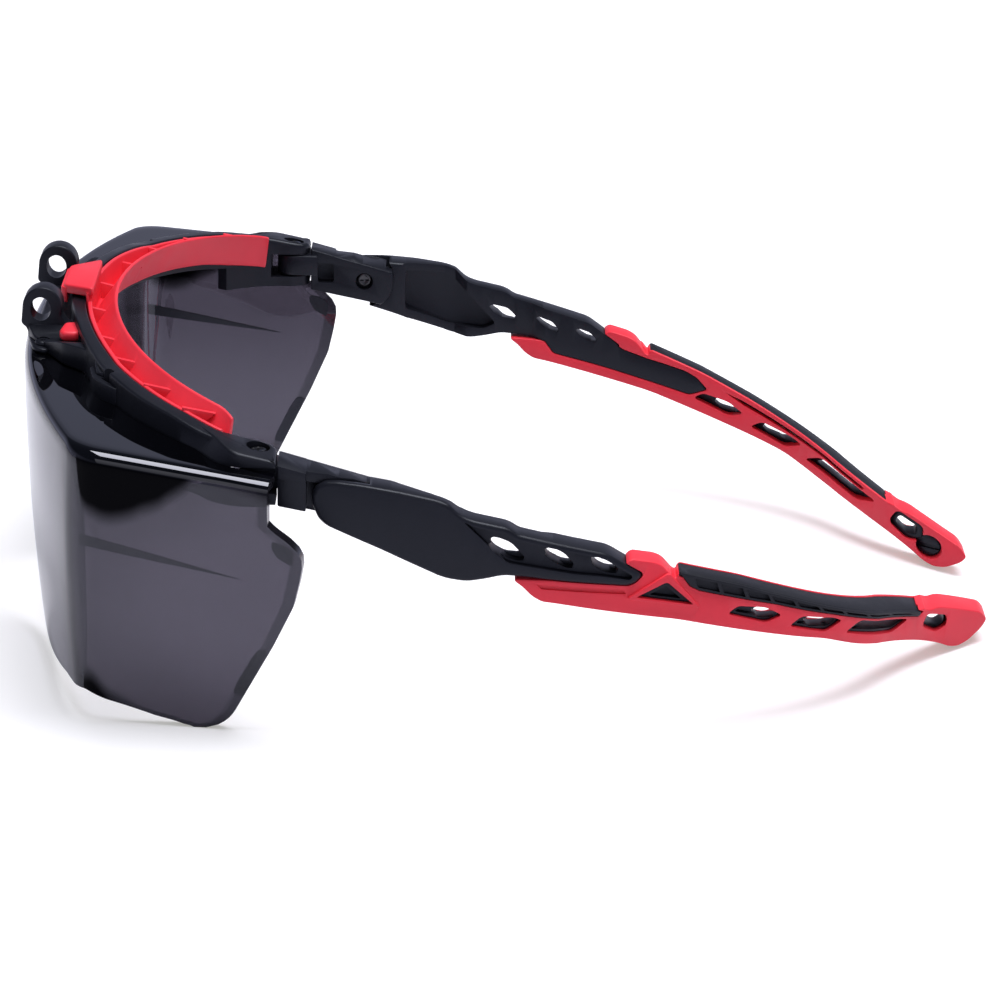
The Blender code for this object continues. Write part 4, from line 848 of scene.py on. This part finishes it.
def pad_mesh():
    end = math.asin(PAD_END_X / BAR_SPAN)
    trough = along_bar([end * (step / 64.0 - 1.0) for step in range(129)], pad_section)
    front_leg = [(-6.1, -81.1), (6.1, -81.1), (6.8, -79.85), (-6.8, -79.85)]
    rear_leg = [(-9.7, -76.2), (9.7, -76.2), (9.4, -75.2), (-9.4, -75.2)]
    joined = [pad_strap(), slab(front_leg, 58.3, 61.2, corner=0.5, edge=0.3, axis=2)]
    joined.append(slab(rear_leg, 56.5, 61.0, corner=0.3, axis=2))
    for share in (0.13, 0.383, 0.57, 0.75, 0.885):
        joined += both(lambda: pad_rib(share))
    joined += both(pad_peg)
    return combined(trough, joined, soften=0.12)


keep_mesh("brow_pad_moulding", pad_mesh(), "frame", rubber, ("brow_pad",))

# The fold hinges: each link has a tongue that turns in the slot of the bar's block on a cross-headed
# screw, and a round end that the arm tilts on. Its inner face has a square recess and the tilt screw.

TILT = (-27.6, 43.3)
LINK_ROUND = 5.8


def link_top(y):
    """Height of the link's sloping top, in mm like its place."""
    return 49.82 - 0.28 * (y + 38.6)


def link_mesh():
    nose = arc(TILT, LINK_ROUND, [math.radians(turn) for turn in range(-55, 21, 5)])
    inner = [(-38.3, 41.36), (-26.0, 38.9)] + nose + [(-38.3, link_top(-38.3))]
    head = [(-38.3, 41.9), (-33.5, 41.0), (-33.5, link_top(-33.5)), (-38.3, link_top(-38.3))]
    cap = [(-34.2, 46.4), (-24.6, 44.9), (-23.4, 45.1), (-23.3, link_top(-23.3) + 1.5), (-34.2, link_top(-34.2) + 1.0)]
    body = slab(inner, 64.3, 67.8, edge=0.35)
    tongue = [(69.5, -37.0), (63.1, -37.0)]
    tongue += arc((66.3, -41.8), -3.2, [math.radians(turn) for turn in range(0, 181, 10)])
    joined = [
        slab(head, 64.3, 71.6, corner=0.3, edge=0.6, segments=3),
        slab(cap, 64.9, 70.3, corner=0.2, edge=0.4),
        upright(tongue, 44.6, 48.6, edge=0.25),
    ]
    recess = [(-36.9, 42.9), (-33.7, 42.9), (-33.7, 46.9), (-36.9, 46.9)]
    low_panel = [(-39.0, 38.0), (-33.0, 38.0), (-33.0, 46.3), (-39.0, 47.2)]
    cut = [
        upright(circle(FOLD, 1.25), 40.0, 55.0),
        slab(recess, 62.0, 66.9, corner=0.5),
        slab(circle(TILT, 1.75), 62.0, 66.4),
        slab(low_panel, 70.7, 73.0),
    ]
    slope = upright([(64.0, -39.5), (74.0, -39.5), (74.0, -20.0), (64.0, -20.0)], 0.0, 10.0)
    sliced(slope, 1, [place * MM for place in (-33.0, -28.0, -24.0)])
    for vertex in slope.verts:
        share = float(np.interp(vertex.co.y / MM, [-39.0, -33.0, -24.0], [0.06, 0.05, -0.12]))
        fall = share * (vertex.co.x - 64.3 * MM) if vertex.co.z < 5.0 * MM else 0.0
        vertex.co.z += link_top(vertex.co.y / MM) * MM - fall
    cut.append(slope)
    return combined(body, joined, cut, soften=0.14)


def screw_mesh(middle, shaft_low, shaft_high, head_low, head_high, axis, head_side):
    """A pan-headed screw with a cross recess."""
    shaft = slab(circle(middle, 0.98), shaft_low, shaft_high, edge=0.15, axis=axis)
    head = slab(circle(middle, 1.45, 32), head_low, head_high, edge=0.3, axis=axis, segments=3)
    face = head_high if head_side > 0 else head_low
    cut = []
    for one, two in ((0.95, 0.19), (0.19, 0.95)):
        bar = [(middle[0] + one * a, middle[1] + two * b) for a, b in ((-1, -1), (1, -1), (1, 1), (-1, 1))]
        cut.append(slab(bar, face - 0.45, face + 0.45, axis=axis))
    return combined(shaft, [head], cut, soften=0.05)


def stud_mesh():
    """A round-headed stud with a flange under the shelf."""
    shaft = upright(circle(STUD, 1.05), 50.2, 54.6)
    head = upright(circle(STUD, 1.5, 32), 54.3, 55.4, edge=0.5, segments=4)
    flange = upright(circle(STUD, 1.6, 32), 49.9, 50.9, edge=0.2)
    dimple = upright(circle(STUD, 0.5), 55.1, 57.0)
    return combined(shaft, [head, flange], [dimple], soften=0.06)


fold_screw = screw_mesh(FOLD, 42.9, 50.0, 49.7, 50.6, 2, 1)
tilt_screw = screw_mesh(TILT, 66.0, 71.0, 65.5, 66.3, 0, -1)
keep_pair("hinge_link_moulding", link_mesh(), "link", nylon, "hinge_link")
keep_pair("fold_screw_moulding", fold_screw, "frame", steel, "fold_screw")
keep_pair("tilt_screw_moulding", tilt_screw, "link", steel, "tilt_screw")
keep_pair("lens_stud_moulding", stud_mesh(), "frame", nylon, "lens_stud")

# The arms: each is a black nylon core in a red soft sleeve. The core starts as a wide paddle round the
# tilt hinge, goes on as a windowed strut with an arrow point, and runs on inside the sleeve as a thin
# blade, which shows again as the frames of the slots and of the eye in the tip.

ARM_START_X, ARM_START_TURN = 69.3 * MM, math.radians(-13.0)
ARM_BENDS = ((47.0, 27.0), (32.0, 14.0), (25.0, 28.0), (32.0, -18.0))
BEND_STEPS = 40
RUN_OUT = 10.0 * MM


def arm_slab(outline, low, high, **rounding):
    """A slab whose outline is (back, up) from the tilt screw."""
    return slab(outline, low, high, origin=TILT, **rounding)


def arm_plan():
    """The arm's middle line in plan: back along Y, with its distance from the middle plane and its turn."""
    x, y, angle = ARM_START_X, TILT[0] * MM, ARM_START_TURN
    line = [(y - RUN_OUT * math.cos(angle), x + RUN_OUT * math.sin(angle), angle), (y, x, angle)]
    for length, turn in ARM_BENDS:
        half, stride = math.radians(turn) / (2.0 * BEND_STEPS), length * MM / BEND_STEPS
        for _ in range(BEND_STEPS):
            angle += half
            x -= stride * math.sin(angle)
            y += stride * math.cos(angle)
            angle += half
            line.append((y, x, angle))
    line.append((y + RUN_OUT * math.cos(angle), x - RUN_OUT * math.sin(angle), angle))
    return np.array(line)


ARM_LINE = arm_plan()


def bend_along_arm(mesh):
    """Lay a piece that was drawn flat in the side view along the arm's plan line."""
    low = min(vertex.co.y for vertex in mesh.verts)
    high = max(vertex.co.y for vertex in mesh.verts)
    sliced(mesh, 1, np.arange(low + 1.0 * MM, high - 0.5 * MM, 2.0 * MM))
    for vertex in mesh.verts:
        middle = np.interp(vertex.co.y, ARM_LINE[:, 0], ARM_LINE[:, 1])
        angle = np.interp(vertex.co.y, ARM_LINE[:, 0], ARM_LINE[:, 2])
        vertex.co.x = middle + vertex.co.x / math.cos(angle)
    return mesh


def shrunk(outline, share):
    """An outline drawn in towards its middle by a share of the way."""
    middle = [sum(point[axis] for point in outline) / len(outline) for axis in (0, 1)]
    return [(x + (middle[0] - x) * share, y + (middle[1] - y) * share) for x, y in outline]


ARM_FRONT = [
    (-5.0, 0.7), (-4.2, 2.4), (-2.7, 3.3), (-0.6, 3.55), (4.0, 3.35), (10.1, 2.65), (16.3, 1.55), (18.3, 0.8),
    (20.4, -1.2), (22.5, -1.95), (28.4, -3.2), (30.2, -4.4), (45.0, -8.2), (46.1, -8.8), (48.2, -10.2),
    (51.7, -12.5), (50.2, -14.0), (49.0, -14.3), (37.4, -12.9), (31.0, -11.9), (27.6, -11.7), (24.6, -12.4),
    (21.5, -12.9), (17.7, -12.4), (7.0, -7.9), (-2.5, -4.4), (-3.8, -3.2), (-4.8, -0.9),
]
STRUT_FLOOR = [
    (20.7, -2.0), (22.6, -2.95), (28.1, -4.15), (29.9, -5.3), (44.9, -9.1), (47.6, -11.0), (49.9, -12.6),
    (49.3, -13.2), (45.0, -12.3), (40.1, -11.6), (28.3, -9.3),
]
WINDOWS = (
    [(25.1, -5.3), (26.2, -5.0), (28.9, -6.1), (31.3, -8.7), (31.1, -9.4), (30.1, -9.4), (28.4, -8.9), (26.4, -7.4)],
    [(34.5, -7.2), (35.5, -6.9), (37.9, -8.1), (39.7, -10.1), (39.5, -11.0), (38.2, -10.8), (36.4, -9.8), (35.1, -8.6)],
    [
        (42.5, -8.9), (43.6, -8.6), (45.6, -9.6), (47.4, -11.6), (47.0, -12.3), (45.7, -12.1), (43.9, -11.2),
        (42.8, -10.0),
    ],
)
SEE_THROUGH = (
    [(25.1, -6.3), (26.0, -5.9), (28.9, -6.5), (30.7, -8.2), (30.2, -8.8), (28.0, -8.6), (26.2, -7.6)],
    [(34.6, -8.2), (35.4, -7.9), (37.9, -8.6), (39.3, -10.2), (38.9, -10.7), (37.4, -10.4), (35.8, -9.4)],
    [(42.6, -10.0), (43.4, -9.7), (45.6, -10.3), (47.0, -11.7), (46.6, -12.2), (45.2, -12.0), (43.7, -11.2)],
)
BLADE = [
    (40.0, -12.5), (50.0, -17.0), (58.0, -18.6), (72.5, -22.9), (84.5, -26.4), (91.0, -29.3), (97.1, -31.8),
    (104.5, -35.9), (109.5, -39.6), (112.0, -40.2), (114.0, -38.7), (114.0, -37.0), (110.0, -34.7),
    (105.0, -33.9), (101.5, -32.4), (95.0, -29.2), (87.0, -25.6), (78.0, -21.8), (67.5, -17.9), (58.5, -15.3),
    (50.0, -12.5),
]
TONGUE = [
    (36.0, -12.0), (38.4, -15.2), (47.8, -17.0), (65.7, -20.8), (69.1, -19.3), (67.0, -17.2), (64.9, -16.2),
    (60.4, -15.2), (57.2, -14.6), (52.1, -13.2), (49.6, -11.4), (46.0, -10.0), (36.0, -10.0),
]
TRIANGLE = [(55.8, -14.0), (50.4, -16.4), (60.6, -18.7)]
SLOTS = (
    [(66.5, -21.4), (68.4, -20.1), (73.4, -21.1), (76.5, -23.1), (73.6, -24.0)],
    [(77.7, -25.4), (80.0, -23.9), (86.1, -25.6), (87.6, -26.6), (84.6, -27.9)],
    [(88.2, -29.1), (91.2, -27.7), (101.2, -32.2), (97.8, -33.2)],
)
HOLES = (
    [(70.7, -21.9), (71.5, -21.0), (74.4, -21.6), (75.8, -22.9), (75.0, -23.5), (72.2, -23.1)],
    [(80.2, -25.3), (81.0, -24.5), (85.2, -25.6), (86.4, -26.4), (85.0, -27.1), (81.4, -26.4)],
    [(90.6, -29.4), (92.2, -28.5), (98.4, -31.2), (99.8, -32.1), (97.7, -32.6), (92.0, -30.2)],
)
EYE = [(104.0, -35.0), (105.1, -32.9), (109.3, -34.6), (109.1, -36.7), (107.0, -37.2)]
BUTTON = circle((110.8, -37.9), 2.1)


def core_mesh():
    turns = [turn * math.pi / 24 for turn in range(25)]
    link_room = [(LINK_ROUND * math.sin(turn), -LINK_ROUND * math.cos(turn)) for turn in turns]
    link_room += [(-12.0, 5.8), (-12.0, -5.8)]
    hollow = [
        (8.2, 1.4), (8.2, -6.6), (16.9, -10.4), (24.0, -11.1), (26.6, -9.9), (20.6, -3.4), (18.4, -1.3), (16.0, 0.2),
    ]
    taper = [
        (6.4, -3.4), (10.0, -1.7), (16.0, 0.2), (18.2, 0.2), (20.6, -1.6), (34.0, -1.6), (36.5, -2.6), (60.0, -2.6),
        (60.0, -7.0), (6.4, -7.0),
    ]
    beside_link = [(-12.0, 1.2), (4.9, 1.2), (4.9, 6.0), (-12.0, 6.0)]
    button_slit = [(108.3, -38.7), (113.4, -38.4), (113.4, -37.5), (108.3, -37.8)]
    joined = [
        arm_slab(TONGUE, -2.6, 0.0, corner=0.6, edge=0.2),
        arm_slab(BLADE, -0.9, 0.9, corner=0.6),
        arm_slab(shrunk(TRIANGLE, 0.04), 0.0, 2.3, corner=0.5, edge=0.35),
        arm_slab(shrunk(EYE, 0.06), -1.5, 1.5, corner=0.9, edge=0.25),
        arm_slab(widened(EYE, 0.45), -1.9, -0.6, corner=1.1, edge=0.25),
        arm_slab(BUTTON, -1.7, 0.0, edge=0.3),
    ]
    cut = [
        arm_slab(link_room, -5.0, 0.1),
        arm_slab(beside_link, -5.0, 1.5),
        arm_slab(hollow, -5.0, 1.3, corner=0.7),
        upright([(across, back + TILT[0]) for back, across in taper], 10.0, 60.0),
        arm_slab(circle((0.0, 0.0), 0.8, 16), -1.0, 2.1),
        arm_slab(shrunk(TRIANGLE, 0.45), 1.0, 3.0, corner=0.3),
        arm_slab(STRUT_FLOOR, 1.7, 5.0, corner=0.7),
        arm_slab(button_slit, -4.0, -1.2),
    ]
    cut += [arm_slab(outline, -0.5, 4.0, corner=0.7, steps=4) for outline in WINDOWS]
    cut += [arm_slab(outline, -4.0, 4.0, corner=0.6, steps=4) for outline in SEE_THROUGH]
    for outline in SLOTS:
        joined.append(arm_slab(shrunk(outline, 0.03), -0.9, 1.9, corner=0.7, edge=0.25))
        cut.append(arm_slab(widened(outline, -0.7), 0.7, 4.0, corner=0.4, steps=4))
    cut += [arm_slab(outline, -4.0, 4.0, corner=0.5, steps=4) for outline in HOLES]
    cut.append(arm_slab(shrunk(EYE, 0.22), -4.0, 4.0, corner=0.6, steps=4))
    front = arm_slab(ARM_FRONT, -3.1, 3.1, corner=1.4, edge=0.75, steps=4, segments=3)
    return bend_along_arm(combined(front, joined, cut, soften=0.16))


keep_pair("arm_core", core_mesh(), "temple", nylon, "temple_core")

# The sleeve: red thermoplastic rubber moulded over the blade, with openings for the slots, the eye and
# the triangle. A raised lip runs round the triangle, and a groove runs along the inner face.

SLEEVE = [
    (29.1, -12.4), (31.1, -13.9), (32.7, -15.6), (34.4, -16.6), (36.9, -17.0), (57.9, -21.3), (72.5, -25.6),
    (84.5, -29.1), (91.0, -32.2), (97.1, -34.6), (103.8, -37.5), (107.6, -39.5), (110.0, -41.1), (111.8, -41.6),
    (113.8, -41.2), (116.6, -39.4), (117.5, -38.0), (116.3, -36.3), (111.8, -34.3), (107.4, -32.4),
    (105.6, -32.3), (104.6, -31.8), (104.4, -31.6), (103.0, -31.4), (95.4, -27.9), (87.6, -24.3), (78.6, -20.3),
    (68.2, -16.0), (57.8, -12.6), (57.3, -13.8), (56.6, -13.3), (54.8, -11.1), (53.2, -10.4), (49.5, -9.6),
    (48.6, -10.4), (46.0, -13.0), (40.0, -13.0),
]
GROOVE = [
    (72.6, -19.2), (76.0, -20.3), (86.0, -24.4), (92.0, -27.0), (99.0, -30.3), (98.6, -30.8), (91.6, -27.5),
    (85.6, -25.0), (76.4, -21.3),
]
STRUT_LINE = [(33.4, -13.4), (34.2, -14.3), (48.8, -15.9), (48.2, -15.0)]
GRIP = [
    (57.8, -12.6), (68.2, -16.0), (78.6, -20.3), (87.6, -24.3), (95.4, -27.9), (103.0, -31.4), (104.1, -32.1),
    (103.2, -32.6), (93.3, -28.2), (85.9, -24.9), (75.2, -20.8), (61.5, -16.4), (59.8, -15.4),
]


def sleeve_mesh():
    top = GRIP[:6]
    cap_room = [(back, up + 3.0) for back, up in top] + [(back, up - 0.9) for back, up in top[::-1]]
    joined = [arm_slab(widened(TRIANGLE, 1.3), 0.0, 3.25, corner=0.6, edge=0.4)]
    cut = [
        arm_slab(widened(ARM_FRONT, 0.15), -6.0, 6.0, corner=0.8),
        arm_slab(widened(TONGUE, 0.15), -6.0, 0.1, corner=0.6),
        arm_slab(widened(BLADE, 0.15), -1.0, 1.0, corner=0.6),
        arm_slab(TRIANGLE, 0.0, 6.0, corner=0.5),
        arm_slab(widened(GRIP, 0.12), 0.6, 6.0, corner=0.3),
        arm_slab(cap_room, -2.0, 6.0),
        arm_slab(widened(EYE, 0.5), -6.0, -0.5, corner=1.1, steps=4),
        arm_slab(STRUT_LINE, 2.1, 6.0, corner=0.2),
        arm_slab(EYE, -6.0, 6.0, corner=0.9, steps=4),
        arm_slab(widened(BUTTON, 0.25), -6.0, 0.0),
        arm_slab(GROOVE, -6.0, 0.0),
    ]
    cut += [arm_slab(outline, -6.0, 6.0, corner=0.8, steps=4) for outline in SLOTS]
    body = arm_slab(SLEEVE, -2.6, 2.6, corner=1.6, edge=0.8, steps=4, segments=3)
    return bend_along_arm(combined(body, joined, cut, soften=0.16))


keep_pair("arm_sleeve", sleeve_mesh(), "temple", rubber, "temple_sleeve")

# The grip: a strip of soft black rubber let into the outer top edge of the sleeve, with a thin raised
# border and slanting pockets between, so that the arm can be held with gloves on.


def grip_mesh():
    strip = arm_slab(widened(GRIP, -0.1), 0.7, 2.85, corner=0.4, edge=0.25)
    upper, lower = np.array(GRIP[:6]), np.array(GRIP[7:][::-1])
    band = [(back, up - 0.05) for back, up in GRIP[:6]] + [(back, up - 0.8) for back, up in GRIP[:6][::-1]]
    cap = arm_slab(band, -1.9, 2.3, corner=0.2, edge=0.25)
    cut = []
    for back in np.arange(60.6, 99.0, 4.6):
        outline = []
        for ahead, line, inset in ((0.0, upper, -0.5), (3.9, upper, -0.5), (4.5, lower, 0.45), (0.6, lower, 0.45)):
            outline.append((back + ahead, float(np.interp(back + ahead, line[:, 0], line[:, 1])) + inset))
        cut.append(arm_slab(outline, 2.1, 5.0, corner=0.15))
    return bend_along_arm(combined(strip, [cap], cut, soften=0.1))


keep_pair("arm_grip", grip_mesh(), "temple", soft_black, "temple_grip")
